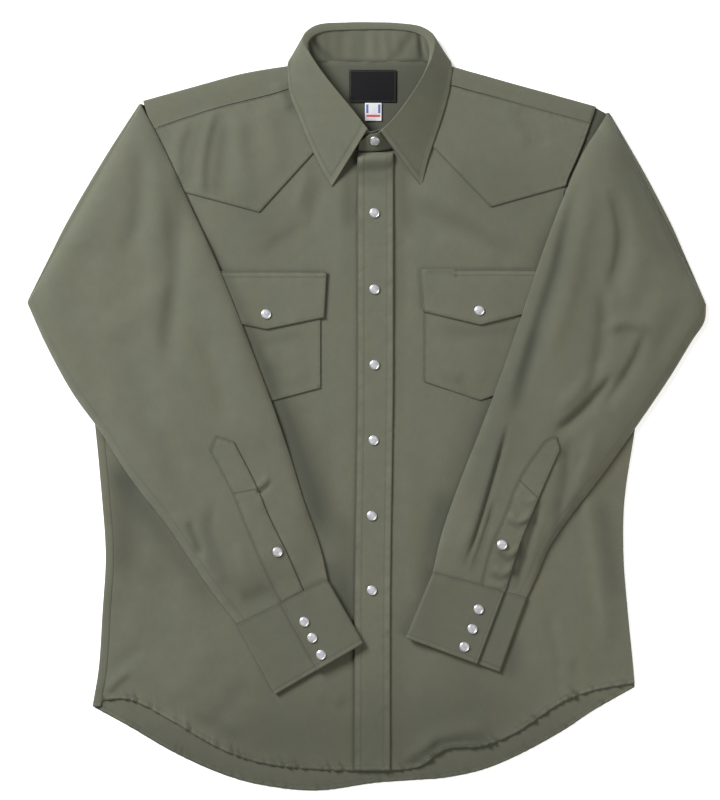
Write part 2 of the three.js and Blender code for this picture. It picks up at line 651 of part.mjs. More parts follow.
// Pointed band over a sleeve opening, laid on the sleeve
function sleeveBand(side) {
  const outEdge = lineThrough(SLEEVE_BANDS[side].map((row) => row.out));
  const inEdge = lineThrough(SLEEVE_BANDS[side].map((row) => row.in));
  return sheet((u, v) => mixPoint(outEdge(v), inEdge(v), u),
    (x, y) => sleeveTop(side, x, y) + PITCH + 0.3, steps(2), [0, 0.2, 0.3, 0.4, 0.5, 0.6, 0.7, 0.8, 0.9, 1]);
}

// Cuff: a strip that starts at the overlap, runs under the wrist and ends under the overlap
const cuffPlan = (cuff, across, down) => mixPoint(
  mixPoint(cuff.inner, cuff.outer, across), mixPoint(cuff.innerHand, cuff.outerHand, across), down);
const cuffTop = (x, y) => overHeight(x, y) + 2 * CUFF_PITCH + 0.2;
function cuffStrip(side) {
  const cuff = CUFFS[side];
  const edge = 0.018;
  const strip = [
    ...steps(5, cuff.lap, edge).map((t) => [t, 2]),
    [0, 1],
    ...steps(6, edge, 1 - edge).map((t) => [t, 0]),
    [1, 0.5],
    ...steps(4, 1 - edge, cuff.lap - CUFF_UNDERLAP).map((t) => [t, 1]),
  ];
  return cloth(steps(4, 0.012, 1).map((down) => strip.map(([across, level]) => {
    const [x, y] = cuffPlan(cuff, across, down);
    return new THREE.Vector3(x, y, overHeight(x, y) + 0.2 + level * CUFF_PITCH);
  })), CUFF_WALL);
}

// A pointed patch: pocket or flap, laid on the front
function patch(shape, lift, side) {
  const plan = (u, v) => {
    const narrow = (shape.narrow ?? 0) * (1 - v);
    const x = mix(shape.left + narrow, shape.right - narrow, u);
    const half = x < shape.middle ? shape.middle - shape.left : shape.right - shape.middle;
    const low = mix(shape.point, shape.low, clamp01(Math.abs(x - shape.middle) / half));
    return [x, mix(low, shape.top, v)];
  };
  const across = [...steps(3, 0, 0.5), ...steps(3, 0.5, 1).slice(1)];
  const height = side === 'right' ? frontHeight : leftFrontHeight;
  return sheet(plan, (x, y) => height(x, y) + lift, across, steps(4));
}

// Woven label or tag, laid inside the back of the neck
function tab(shape, lift) {
  const levels = [shape.low, ...NECK_RISE.filter((y) => y > shape.low && y < shape.top), shape.top];
  return sheet((u, v) => [mix(shape.left, shape.right, u), levels[v]],
    (x, y) => neckHeight(y) + lift, steps(3), levels.map((_, index) => index));
}

// Snap: a rim and a domed pearl, turned about its own axis
function snapGeometry() {
  const { radius, height, pearl } = SNAP;
  const profile = [
    [0, 0], [radius, 0], [radius, height * 0.5], [radius - 0.7, height * 0.72],
    [pearl, height * 0.66], [pearl * 0.6, height * 0.93], [0, height],
  ];
  return new THREE.LatheGeometry(profile.map(([r, z]) => new THREE.Vector2(r, z)), 12);
}

const shirt = new THREE.Group();

function add(name, geometry, finish) {
  const mesh = new THREE.Mesh(geometry, new THREE.MeshStandardMaterial(finish));
  mesh.name = name;
  shirt.add(mesh);
  return mesh;
}

// A snap stands on a surface at a point, along the surface's normal
function addSnap(name, point, normal) {
  const mesh = add(name, snapGeometry(), PEARL);
  mesh.position.copy(point).addScaledVector(normal, SNAP.lift);
  mesh.quaternion.setFromUnitVectors(new THREE.Vector3(0, 1, 0), normal);
}

// A snap on a cloth whose upper face is a height over the plan
function addSnapOn(name, [x, y], height) {
  const reach = 5;
  const normal = new THREE.Vector3(
    (height(x - reach, y) - height(x + reach, y)) / (2 * reach),
    (height(x, y - reach) - height(x, y + reach)) / (2 * reach), 1).normalize();
  addSnap(name, new THREE.Vector3(x, y, height(x, y)), normal);
}

add('back_panel', backPanel(), TWILL);
add('back_yoke', backYoke(), TWILL);
add('placket', placket(), TWILL);
add('collar_stand', collarStand(), TWILL);
add('collar_fall', collarFall(), TWILL);
for (const side of ['right', 'left']) {
  add(`front_${side}`, frontPanel(side), TWILL);
  add(`front_yoke_${side}`, frontYoke(side), TWILL);
  add(`pocket_${side}`, patch(POCKETS[side], PITCH, side), TWILL);
  add(`flap_${side}`, patch(FLAPS[side], 2 * PITCH, side), TWILL);
  add(`sleeve_${side}`, sleeve(side), TWILL_SLEEVE);
  add(`sleeve_placket_${side}`, sleeveBand(side), TWILL_SLEEVE);
  add(`cuff_${side}`, cuffStrip(side), TWILL_SLEEVE);
  const flapTop = (x, y) => frontHeight(x, y) + 2 * PITCH + WALL / 2;
  addSnapOn(`snap_pocket_${side}`, POCKET_SNAPS[side], flapTop);
  const bandTop = (x, y) => sleeveTop(side, x, y) + PITCH + 0.3 + WALL / 2;
  addSnapOn(`snap_sleeve_${side}`, SLEEVE_SNAPS[side], bandTop);
  CUFF_SNAPS[side].forEach((place, index) =>
    addSnapOn(`snap_cuff_${side}_${index + 1}`, place, (x, y) => cuffTop(x, y) + CUFF_WALL / 2));
}
add('neck_label', tab(LABEL, PITCH), LABEL_CLOTH);
add('size_tag', tab(TAG, PITCH), TAG_CLOTH);

const standNeck = lineThrough(COLLAR.map((row) => row.neck));
const standTop = lineThrough(COLLAR.map((row) => row.top));
const standAt = (along, across) => new THREE.Vector3(
  ...mixPoint(standNeck(along / (COLLAR.length - 1)), standTop(along / (COLLAR.length - 1)), across));
const neckNormal = standAt(NECK_SNAP.along + 0.3, NECK_SNAP.across)
  .sub(standAt(NECK_SNAP.along - 0.3, NECK_SNAP.across))
  .cross(standAt(NECK_SNAP.along, 1).sub(standAt(NECK_SNAP.along, 0))).normalize();
if (neckNormal.z < 0) neckNormal.negate();
addSnap('snap_front_1', standAt(NECK_SNAP.along, NECK_SNAP.across)
  .addScaledVector(neckNormal, WALL / 2), neckNormal);
FRONT_SNAPS.forEach((place, index) => addSnapOn(`snap_front_${index + 2}`, place,
  (x, y) => leftFrontHeight(Math.min(x, UNDERLAP_X), y) + PITCH + WALL / 2));

export default shirt;
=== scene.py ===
"""Western snap shirt, laid on its back with both sleeves folded over the front.

Plan places and heights are in millimetres, as in the solids, and become metres when a
mesh is made. +Z is up, +Y runs to the collar, and -X is the wearer's right side.
"""

import logging
import math
from collections.abc import Callable, Sequence
from dataclasses import dataclass, field
from enum import Enum

import bpy
import numpy as np
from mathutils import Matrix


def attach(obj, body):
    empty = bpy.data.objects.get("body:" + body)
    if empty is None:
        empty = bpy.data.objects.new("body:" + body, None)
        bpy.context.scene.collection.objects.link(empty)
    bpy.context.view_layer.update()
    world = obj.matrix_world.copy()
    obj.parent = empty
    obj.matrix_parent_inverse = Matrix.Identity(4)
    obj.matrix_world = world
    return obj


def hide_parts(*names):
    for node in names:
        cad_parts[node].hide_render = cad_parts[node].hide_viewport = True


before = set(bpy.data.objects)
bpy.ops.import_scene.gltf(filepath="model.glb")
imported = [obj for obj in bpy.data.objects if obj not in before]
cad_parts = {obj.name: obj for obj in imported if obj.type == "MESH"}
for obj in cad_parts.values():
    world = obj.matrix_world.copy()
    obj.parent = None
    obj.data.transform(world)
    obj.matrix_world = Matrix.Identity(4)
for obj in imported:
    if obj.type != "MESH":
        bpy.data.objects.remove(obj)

Array = np.ndarray
Place = tuple[float, float]
Height = Callable[[Array, Array], Array]

log = logging.getLogger("shirt")

MM = 0.001

# Walls of the cloth, and how far the middles of two layers lie apart
WALL = 0.9
CUFF_WALL = 1.3
COLLAR_WALL = 1.1
LABEL_WALL = 0.6
TAG_WALL = 0.5
PITCH = 1.5
CUFF_PITCH = 2.4
SEAM_GAP = 0.3

# Middle heights of the back, of the fronts and of the yoke over them, and the shirt's centre line
BACK_Z = 0.5
FRONT_Z = 2.0
TOP_Z = 3.5
MIDDLE_X = 8.0

# Front opening
BAND_LEFT, BAND_RIGHT, BAND_TAPER = 30.0, -10.0, 3.5
BAND_TOP, BAND_BOTTOM = 286.0, -410.0
UNDERLAP_X = 15.0
LAP_FADE = 28.0
SEAM_IN = 9.0


class Side(Enum):
    """The wearer's side that a piece is on."""

    RIGHT = "right"
    LEFT = "left"


def mix(a: Array | float, b: Array | float, share: Array | float) -> Array | float:
    """Straight mix of a and b."""
    return a + (b - a) * share


def ease(low: float, high: float, value: Array | float) -> Array:
    """Smooth step from 0 at low to 1 at high: 3 t squared less 2 t cubed."""
    t = np.clip((np.asarray(value, float) - low) / (high - low), 0.0, 1.0)
    return t * t * (3.0 - 2.0 * t)


def bell(distance: Array | float, width: float) -> Array:
    """Bell curve, 1 at no distance: e to the power of minus the square of distance over width."""
    return np.exp(-((distance / width) ** 2))


def gathered(k: Array, share: float) -> Array:
    """Shares from 0 to 1 drawn together towards both ends."""
    return mix(k, 0.5 - 0.5 * np.cos(np.pi * k), share)


def quarter(distance: Array, radius: float) -> Array:
    """A quarter circle's rise, from 0 at the edge to 1 a radius inside it."""
    t = 1 - np.clip(distance / radius, 0, 1)
    return np.sqrt(np.maximum(1 - t * t, 0))


def unit(vectors: Array) -> Array:
    """The vectors along the last axis, each made one long."""
    return vectors / np.maximum(np.linalg.norm(vectors, axis=-1, keepdims=True), 1e-9)


def run_along(line: Array) -> Array:
    """Length of a line from its start to each of its points."""
    return np.concatenate([[0.0], np.cumsum(np.linalg.norm(np.diff(line, axis=0), axis=1))])


class Table:
    """Smooth function through a table of values, a cubic Hermite curve that runs on straight."""

    def __init__(self, inputs: Sequence[float], outputs: Sequence[float]) -> None:
        """Keeps the table in rising order of its inputs."""
        order = np.argsort(inputs)
        self.x = np.asarray(inputs, float)[order]
        self.y = np.asarray(outputs, float)[order]

    def __call__(self, value: Array | float) -> Array:
        """The smooth value at each input.

        Args:
            value: Inputs, of any shape.

        Returns:
            Outputs of the same shape. Slopes at the rows are those between their neighbours.
        """
        v = np.asarray(value, float)
        last = len(self.x) - 1
        i = np.clip(np.searchsorted(self.x, v) - 1, 0, last - 1)
        low, high = np.maximum(i - 1, 0), np.minimum(i + 2, last)
        span = self.x[i + 1] - self.x[i]
        t = (v - self.x[i]) / span
        start = (self.y[i + 1] - self.y[low]) / (self.x[i + 1] - self.x[low]) * span
        end = (self.y[high] - self.y[i]) / (self.x[high] - self.x[i]) * span
        curve = (self.y[i] * (2 * t**3 - 3 * t**2 + 1) + start * (t**3 - 2 * t**2 + t)
                 + self.y[i + 1] * (3 * t**2 - 2 * t**3) + end * (t**3 - t**2))
        curve = np.where(t < 0, self.y[i] + start * t, curve)
        return np.where(t > 1, self.y[i + 1] + end * (t - 1), curve)


class Line:
    """Smooth line through points, a centripetal Catmull-Rom curve called with shares 0 to 1."""

    def __init__(self, points: Sequence[Sequence[float]]) -> None:
        """Keeps the points, with one more beyond each end, mirrored from its neighbour."""
        p = np.asarray(points, float)
        self.points = np.vstack([2 * p[:1] - p[1:2], p, 2 * p[-1:] - p[-2:-1]])

    def __call__(self, share: Array | float) -> Array:
        """Points at shares of the way, with the coordinates on the last axis.

        Args:
            share: Shares from 0 to 1, of any shape.

        Returns:
            Array of the shape of share plus one axis.
        """
        count = len(self.points) - 2
        place = np.clip(np.asarray(share, float), 0.0, 1.0) * (count - 1)
        i = np.minimum(place.astype(int), count - 2)
        w = (place - i)[..., None]
        p0, p1, p2, p3 = (self.points[i + k] for k in range(4))
        d0, d1, d2 = (np.maximum(np.linalg.norm(b - a, axis=-1, keepdims=True) ** 0.5, 1e-4)
                      for a, b in ((p0, p1), (p1, p2), (p2, p3)))
        start = ((p1 - p0) / d0 - (p2 - p0) / (d0 + d1) + (p2 - p1) / d1) * d1
        end = ((p2 - p1) / d1 - (p3 - p1) / (d1 + d2) + (p3 - p2) / d2) * d1
        return (p1 + start * w + (-3 * p1 + 3 * p2 - 2 * start - end) * w**2
                + (2 * p1 - 2 * p2 + start + end) * w**3)


class Pointed:
    """A line that runs straight from its first point to its second, and smoothly from there."""

    tip = 0.1

    def __init__(self, points: Sequence[Place]) -> None:
        """Keeps the tip and the smooth rest."""
        self.first = np.asarray(points[0], float)
        self.rest = Line(points[1:])

    def __call__(self, share: Array | float) -> Array:
        """Points at shares of the way."""
        share = np.asarray(share, float)
        straight = mix(self.first, self.rest(0.0), np.clip(share / self.tip, 0, 1)[..., None])
        smooth = self.rest(np.clip((share - self.tip) / (1 - self.tip), 0, 1))
        return np.where((share < self.tip)[..., None], straight, smooth)


def nearest(x: Array, y: Array, line: Array) -> tuple[Array, Array, Array]:
    """Distance of each place from a line of straight stretches.

    Args:
        x: Places across.
        y: Places along.
        line: Points of the line, n by 2.

    Returns:
        The distance, the length along the line of the nearest point, and the side, +1 on the left.
    """
    best = np.full(np.shape(x), 1e18)
    along = np.zeros(np.shape(x))
    side = np.ones(np.shape(x))
    run = 0.0
    for (ax, ay), (bx, by) in zip(line[:-1], line[1:]):
        dx, dy = bx - ax, by - ay
        length = math.hypot(dx, dy)
        if length < 1e-6:
            continue
        t = np.clip(((x - ax) * dx + (y - ay) * dy) / length**2, 0.0, 1.0)
        square = (x - ax - dx * t) ** 2 + (y - ay - dy * t) ** 2
        closer = square < best
        best = np.where(closer, square, best)
        along = np.where(closer, run + t * length, along)
        side = np.where(closer, np.sign(dx * (y - ay) - dy * (x - ax)), side)
        run += length
    return np.sqrt(best), along, side


def line_length(line: Array) -> float:
    """Length of a line of straight stretches."""
    return float(np.linalg.norm(np.diff(line, axis=0), axis=1).sum())


@dataclass(frozen=True)
class Fold:
    """A soft ridge, or a trough where its height is negative, along a curved line.

    Its height is the full height times a bell curve of the distance from the line, and fades
    out towards both ends. A lean makes the flank on the line's left wider and the other steeper.
    """

    points: tuple[Place, ...]
    width: float
    height: float
    lean: float = 0.0

    def lift(self, x: Array, y: Array) -> Array:
        """Height of the fold at each place."""
        line = Line(self.points)(np.linspace(0, 1, 15))
        reach = 3.2 * self.width * (1 + abs(self.lean))
        near = ((x > line[:, 0].min() - reach) & (x < line[:, 0].max() + reach)
                & (y > line[:, 1].min() - reach) & (y < line[:, 1].max() + reach))
        lift = np.zeros(np.shape(x))
        if near.any():
            away, along, side = nearest(x[near], y[near], line)
            share = along / line_length(line)
            fade = ease(0.0, 0.24, share) * (1 - ease(0.76, 1.0, share))
            lift[near] = self.height * fade * bell(away, self.width * (1 + self.lean * side))
        return lift


@dataclass(frozen=True)
class Ripple:
    """Gentle unevenness: a sum of random waves, about size long, from 0 up to twice the height."""

    seed: int
    size: float
    height: float
    stretch: float = 1.0

    def lift(self, x: Array, y: Array) -> Array:
        """Height of the ripple at each place."""
        rng = np.random.default_rng(self.seed)
        total = np.zeros(np.shape(x))
        for _ in range(9):
            angle, phase = rng.uniform(0, 2 * np.pi, 2)
            wave = 2 * np.pi / (self.size * rng.uniform(0.7, 1.6))
            total += np.cos(wave * (x * np.cos(angle) + y * np.sin(angle) / self.stretch) + phase)
        return self.height * (1 + np.clip(total / 4.2, -1, 1))


def relief(forms: Sequence[Fold | Ripple], x: Array, y: Array) -> Array:
    """Sum of the heights of folds or ripples at each place."""
    return sum(form.lift(x, y) for form in forms)


def folds(*rows: tuple) -> tuple[Fold, ...]:
    """Folds from rows of points, width, height and lean."""
    return tuple(Fold(*row) for row in rows)


@dataclass(frozen=True)
class Seam:
    """Stitching along an edge: a flat ridge between the edge and fine grooves at the threads.

    insets are the distances of the thread lines from the edge. The cloth beside them puckers in
    small uneven waves that die away over the reach.
    """

    line: Array
    insets: tuple[float, ...]
    seed: int
    groove: float = 0.3
    ridge: float = 0.25
    pucker: float = 0.18
    pitch: float = 9.0
    reach: float = 8.0

    def waves(self, along: Array) -> Array:
        """Uneven waves along the seam, about one pitch long."""
        rng = np.random.default_rng(self.seed)
        total = np.zeros(np.shape(along))
        for stretch in (0.78, 0.92, 1.0, 1.37, 1.9):
            total += np.cos(2 * np.pi * along / (self.pitch * stretch) + rng.uniform(0, 2 * np.pi))
        slow = 0.65 + 0.35 * np.cos(2 * np.pi * along / (self.pitch * 6.3) + rng.uniform(0, 2 * np.pi))
        return total / 2.6 * slow

    def lift(self, x: Array, y: Array) -> Array:
        """Height that the seam adds at each place."""
        away, along, _ = nearest(x, y, self.line)
        last = self.insets[-1]
        lift = self.ridge * (1 - ease(last - 0.4, last + 1.6, away))
        lift = lift - 0.5 * self.ridge * (1 - ease(0, 1.2, away))
        for inset in self.insets:
            lift = lift - self.groove * bell(away - inset, 0.75)
        return lift + self.pucker * self.waves(along + 0.6 * away) * np.exp(-away / self.reach)

    def painted_shade(self, x: Array, y: Array) -> Array:
        """How much painted shade each place gets in a thread line's groove, a pucker's valley or at the edge,
        from 0 to 1.
        """
        away, along, _ = nearest(x, y, self.line)
        threads = 0.5 * sum(bell(away - inset, 0.7) for inset in self.insets)
        waves = self.waves(along + 0.6 * away)
        valleys = 1.3 * self.pucker * np.maximum(-waves - 0.12, 0) * bell(away, self.reach)
        return threads + valleys + bell(away, 0.8)

    def wear_and_highlight(self, x: Array, y: Array) -> Array:
        """How much each place is painted pale, from 0 to 1, most at the raised edge: wear together with
        painted highlight.
        """
        away, along, _ = nearest(x, y, self.line)
        edge = np.exp(-away / (0.6 * self.insets[-1] + 1.4)) * ease(0.5, 1.5, away)
        return edge * (0.7 + 0.3 * self.waves(along * 0.7))


def shares(length: float, pitch: float, start: Sequence[float] = (), end: Sequence[float] = ()) -> Array:
    """Steps from 0 to 1 over a length, with given fine places near its ends.

    Args:
        length: The length in millimetres.
        pitch: Step between the fine places.
        start: Places in millimetres from the start.
        end: Places in millimetres from the end.

    Returns:
        Rising shares from 0 to 1.
    """
    low = max(start, default=0.0)
    high = length - max(end, default=0.0)
    middle = np.linspace(low, high, max(2, round((high - low) / pitch) + 1))
    near_end = length - np.asarray(end, float)
    places = np.concatenate([[0.0, length], np.asarray(start, float), middle, near_end])
    places = np.unique(np.round(places, 4))
    keep = np.concatenate([[True], np.diff(places) > 0.12])
    keep[-1] = True
    return places[keep] / length


def fine(*insets: float) -> list[float]:
    """Places close together at an edge and round each thread line inside it."""
    places = [0.35, 0.9, 1.8, 3.0]
    for inset in insets:
        places += [inset - 1.5, inset - 0.75, inset, inset + 0.75, inset + 1.6]
    places.append(max(insets, default=3.0) + 3.2)
    return sorted(p for p in places if p > 0.3)


def between(bottom: Callable[[Array], Array], top: Callable[[Array], Array],
            start: Callable[[Array], Array], end: Callable[[Array], Array],
            u: Array, v: Array) -> Array:
    """The plan surface between four edges (a Coons patch).

    Args:
        bottom: Edge at v = 0, called with u.
        top: Edge at v = 1, called with u.
        start: Edge at u = 0, called with v.
        end: Edge at u = 1, called with v.
        u: Steps across.
        v: Steps along.

    Returns:
        Places, rows by columns by 2: the mix of bottom and top, plus the mix of start and end,
        less the flat mix of the four corners.
    """
    uu, vv = u[None, :, None], v[:, None, None]
    low, high = bottom(u)[None], top(u)[None]
    left, right = start(v)[:, None], end(v)[:, None]
    corners = mix(mix(low[:, :1], low[:, -1:], uu), mix(high[:, :1], high[:, -1:], uu), vv)
    return mix(low, high, vv) + mix(left, right, uu) - corners


def points(x: Array, y: Array) -> Array:
    """Places from their two coordinates."""
    return np.stack(np.broadcast_arrays(np.asarray(x, float), np.asarray(y, float)), axis=-1)


@dataclass
class Cloth:
    """A wall of cloth on a grid of middle points.

    The upper face is half a wall along the grid's normal from the middle, the lower face half a
    wall the other way, and a rounded rim joins them. A ring closes on itself along each row.
    """

    middle: Array
    wall: float = WALL
    ring: bool = False
    normal: Array | None = None
    cut: Array | None = None
    # Per point: paleness at edges from wear and painted highlight, and painted shade
    wear_and_highlight: Array | None = None
    painted_shade: Array | None = None

    def normals(self) -> Array:
        """Unit normals of the grid: the step across times the step along."""
        if self.normal is not None:
            return self.normal
        m = self.middle
        if self.ring:
            across = np.roll(m, -1, axis=1) - np.roll(m, 1, axis=1)
        else:
            across = np.gradient(m, axis=1)
        along = np.gradient(m, axis=0)
        return unit(np.cross(across, along))

    def upper(self) -> Array:
        """Points of the upper face."""
        return self.middle + self.normals() * self.wall / 2

    def lengths(self) -> tuple[Array, Array]:
        """Distance of each point from the grid's start along its row, and from its first row."""
        across = np.linalg.norm(np.diff(self.middle, axis=1), axis=-1)
        along = np.linalg.norm(np.diff(self.middle, axis=0), axis=-1)
        return (np.pad(np.cumsum(across, axis=1), ((0, 0), (1, 0))),
                np.pad(np.cumsum(along, axis=0), ((1, 0), (0, 0))))

    def rim(self) -> tuple[Array, Array]:
        """Loop of grid indices round the open edge, counter-clockwise, and its nose points.

        Returns:
            The indices, and points a little outside the middle: along the cross product of the
            loop's direction and the surface's normal.
        """
        rows, columns = self.middle.shape[:2]
        index = np.arange(rows * columns).reshape(rows, columns)
        loop = np.concatenate([index[0, :-1], index[:-1, -1], index[-1, :0:-1], index[:0:-1, 0]])
        flat = self.middle.reshape(-1, 3)[loop]
        direction = np.roll(flat, -1, axis=0) - np.roll(flat, 1, axis=0)
        outward = unit(np.cross(direction, self.normals().reshape(-1, 3)[loop]))
        return loop, flat + outward * self.wall * 0.38

    def mesh(self, name: str) -> bpy.types.Object:
        """Makes the Blender object, in metres, with its UV map, its paleness from wear and painted highlight,
        and its painted shade.

        Args:
            name: Name of the object.

        Returns:
            The object, linked to the scene.
        """
        rows, columns = self.middle.shape[:2]
        count = rows * columns
        half = self.normals() * self.wall / 2
        corners = [(self.middle + half).reshape(-1, 3), (self.middle - half).reshape(-1, 3)]
        upper = np.arange(count).reshape(rows, columns)
        if self.ring:
            upper = np.concatenate([upper, upper[:, :1]], axis=1)
        lower = upper + count
        a, b, c, d = upper[:-1, :-1], upper[:-1, 1:], upper[1:, 1:], upper[1:, :-1]
        quads = [np.stack([a, b, c, d], -1).reshape(-1, 4),
                 np.stack([a, d, c, b], -1).reshape(-1, 4) + count]
        if self.ring:
            for row, flip in ((0, False), (-1, True)):
                u0, u1, l0, l1 = upper[row, :-1], upper[row, 1:], lower[row, :-1], lower[row, 1:]
                quads.append(np.stack([l0, u0, u1, l1] if flip else [u0, l0, l1, u1], -1))
            source = np.arange(count)
        else:
            loop, nose = self.rim()
            corners.append(nose)
            n0 = 2 * count + np.arange(len(loop))
            n1, l1 = np.roll(n0, -1), np.roll(loop, -1)
            quads.append(np.stack([loop, n0, n1, l1], -1))
            quads.append(np.stack([n0, loop + count, l1 + count, n1], -1))
            source = np.concatenate([np.arange(count), np.arange(count), loop])
        if self.ring:
            source = np.concatenate([source, source])
        cut = self.cut if self.cut is not None else np.stack(self.lengths(), -1)
        values = {key: (np.zeros(count) if given is None else np.asarray(given, float).ravel())[source]
                  for key, given in (("wear_and_highlight", self.wear_and_highlight), ("painted_shade", self.painted_shade))}
        return new_mesh(name, np.concatenate(corners), np.concatenate(quads),
                        cut.reshape(-1, 2)[source], values)


def new_mesh(name: str, corners: Array, quads: Array, cut: Array | None = None,
             values: dict[str, Array] | None = None) -> bpy.types.Object:
    """Puts points and faces into a new object.

    Args:
        name: Name of the object and its mesh.
        corners: Points in millimetres, n by 3.
        quads: Faces of four corners, m by 4.
        cut: Places on the flat cloth in millimetres, n by 2, for the UV map.
        values: Numbers per point, kept as attributes.

    Returns:
        The object, linked to the scene, with smooth faces.
    """
    mesh = bpy.data.meshes.new(name)
    mesh.vertices.add(len(corners))
    mesh.vertices.foreach_set("co", (corners * MM).astype(np.float32).ravel())
    mesh.loops.add(quads.size)
    mesh.loops.foreach_set("vertex_index", quads.astype(np.int32).ravel())
    mesh.polygons.add(len(quads))
    mesh.polygons.foreach_set("loop_start", np.arange(0, quads.size, 4, dtype=np.int32))
    mesh.update(calc_edges=True)
    mesh.polygons.foreach_set("use_smooth", np.ones(len(quads), bool))
    if cut is not None:
        layer = mesh.uv_layers.new(name="cut")
        layer.data.foreach_set("uv", (cut[quads.ravel()] * MM).astype(np.float32).ravel())
    for key, numbers in (values or {}).items():
        attribute = mesh.attributes.new(key, "FLOAT", "POINT")
        attribute.data.foreach_set("value", numbers.astype(np.float32))
    mesh.validate()
    made = bpy.data.objects.new(name, mesh)
    bpy.context.scene.collection.objects.link(made)
    return made


def sample(grid: Array, row: Array, column: Array) -> Array:
    """Values of a grid at places between its points, mixed from the four round each."""
    rows, columns = grid.shape[:2]
    j = np.clip(row.astype(int), 0, rows - 2)
    i = np.clip(column.astype(int), 0, columns - 2)
    v, u = (row - j)[:, None], (column - i)[:, None]
    return mix(mix(grid[j, i], grid[j, i + 1], u), mix(grid[j + 1, i], grid[j + 1, i + 1], u), v)


@dataclass
class Stitches:
    """Short threads laid end to end along lines on the cloth, half sunk in it."""

    name: str
    pitch: float = 2.8
    length: float = 2.05
    radius: float = 0.25
    places: list[Array] = field(default_factory=list)
    facing: list[Array] = field(default_factory=list)
    heading: list[Array] = field(default_factory=list)

    def add(self, line: Array, normals: Array) -> None:
        """Lays stitches along a line on a surface.

        Args:
            line: Points on the surface, n by 3.
            normals: Surface normals there, n by 3.
        """
        run = run_along(line)
        count = int(run[-1] // self.pitch)
        if count < 1:
            return
        middles = (np.arange(count) + 0.5) * run[-1] / count
        at = lambda s, data: np.stack([np.interp(s, run, data[:, k]) for k in range(3)], -1)
        ahead = at(middles + 0.6, line) - at(middles - 0.6, line)
        self.places.append(at(middles, line))
        self.heading.append(unit(ahead))
        self.facing.append(unit(at(middles, normals)))

    def add_on(self, height: Height, line: Array) -> None:
        """Lays stitches along a plan line on a surface given by its height over the plan."""
        step = 0.8
        smooth = resample(line, 1.6)
        x, y = smooth[:, 0], smooth[:, 1]
        z = height(x, y)
        normals = np.stack([(height(x - step, y) - height(x + step, y)) / (2 * step),
                            (height(x, y - step) - height(x, y + step)) / (2 * step),
                            np.ones_like(x)], -1)
        self.add(np.stack([x, y, z], -1), normals)

    def mesh(self) -> bpy.types.Object:
        """Makes one object of all the stitches: a ring of six points at three places on each."""
        place = np.concatenate(self.places)
        heading = np.concatenate(self.heading)
        across = unit(np.cross(np.concatenate(self.facing), heading))
        up = np.cross(heading, across)
        angle = np.arange(6) * np.pi / 3
        along = np.array([-0.5, 0.0, 0.5]) * self.length
        size = np.array([0.42, 1.0, 0.42]) * self.radius
        lift = np.array([-0.15, 0.35, -0.15]) * self.radius
        ring = (across[:, None, None] * np.cos(angle)[None, None, :, None]
                + up[:, None, None] * np.sin(angle)[None, None, :, None]) * size[None, :, None, None]
        core = (place[:, None] + heading[:, None] * along[None, :, None]
                + up[:, None] * lift[None, :, None])[:, :, None]
        corners = (core + ring).reshape(-1, 3)
        k = np.arange(6)
        nxt = (k + 1) % 6
        sides = np.concatenate([np.stack([k + r, nxt + r, nxt + r + 6, k + r + 6], -1) for r in (0, 6)])
        caps = np.array([[3, 2, 1, 0], [5, 4, 3, 0], [12, 13, 14, 15], [12, 15, 16, 17]])
        one = np.concatenate([sides, caps])
        quads = (one[None] + 18 * np.arange(len(place))[:, None, None]).reshape(-1, 4)
        return new_mesh(self.name, corners, quads)


def resample(line: Array, pitch: float) -> Array:
    """The same line in equal steps of about one pitch."""
    run = run_along(line)
    steps = np.linspace(0, run[-1], max(2, int(run[-1] / pitch) + 1))
    return np.stack([np.interp(steps, run, line[:, k]) for k in range(line.shape[1])], -1)


def inside(line: Array, inset: float) -> Array:
    """The line moved to its left by a distance, with its ends cut back by the same."""
    step = unit(np.gradient(line, axis=0))
    return line + np.stack([-step[:, 1], step[:, 0]], -1) * inset


# Sides of the body and armholes: x of the right and the left edge at each height
SIDES = ((-338, -309, 304), (-295, -302, 301), (-235, -298, 295), (-170, -294, 290),
         (-106, -298, 291), (-24, -306, 303), (89, -319, 318))
ARMHOLE = ((89, -319, 318), (118, -284, 286), (150, -243, 248), (190, -216, 222), (225, -211, 221),
           (253, -216, 226), (279, -227, 237), (301, -237, 246), (345, -252, 261))
ARMHOLE_STEPS = (89, 120, 150, 185, 220, 250, 280, 314, 344)
YOKE_STEP, SHOULDER_STEP = 4, 7
ARMPIT_Y = 89.0

# Hem: x, y of the back edge, y of the front edge
HEM = ((-310, -338, -333), (-268, -361, -331), (-220, -389, -355), (-168, -413, -385),
       (-120, -427, -402), (-56, -433.6, -409.5), (10, -425, -410.5), (58, -421.5, -407),
       (90, -419, -387), (132, -410, -383), (171, -394, -367), (221, -367, -334),
       (259, -342, -320), (305, -316, -312))

# Shoulders: x, y of the fold, y of the seam with the front
SHOULDER = ((-252, 343, 309), (-200, 357, 327), (-168, 366, 337), (-136, 375, 345),
            (-100, 382, 354), (-75, 385, 362), (90, 384, 363), (117, 377, 356.5),
            (161, 364, 345), (212, 350, 331), (261, 337, 318))
YOKE_BACK_SIDE, YOKE_BACK_POINT = 220.0, 188.0
YOKE_TURN, YOKE_COLUMNS, YOKE_FLAT_ROWS = 4.0, 44, 28
NECK_RIGHT_X, NECK_LEFT_X = -75.0, 90.0
YOKE_END = {Side.RIGHT: -245.0, Side.LEFT: 256.0}
NECK_RISE_FROM, NECK_RISE_TO = 345.0, 376.0
YOKE_POINT = {Side.RIGHT: ((-216, 244), (-121, 219), (-45, 306)),
              Side.LEFT: ((221, 249), (140, 225), (58, 307))}
NECK_FRONT = {
    Side.RIGHT: ((UNDERLAP_X, 287), (-20, 291), (-46, 310), (-66, 337), (-77, 361)),
    Side.LEFT: ((BAND_RIGHT + 0.5, 286), (20, 286.8), (37, 290), (62, 308), (83, 334), (92, 362)),
}


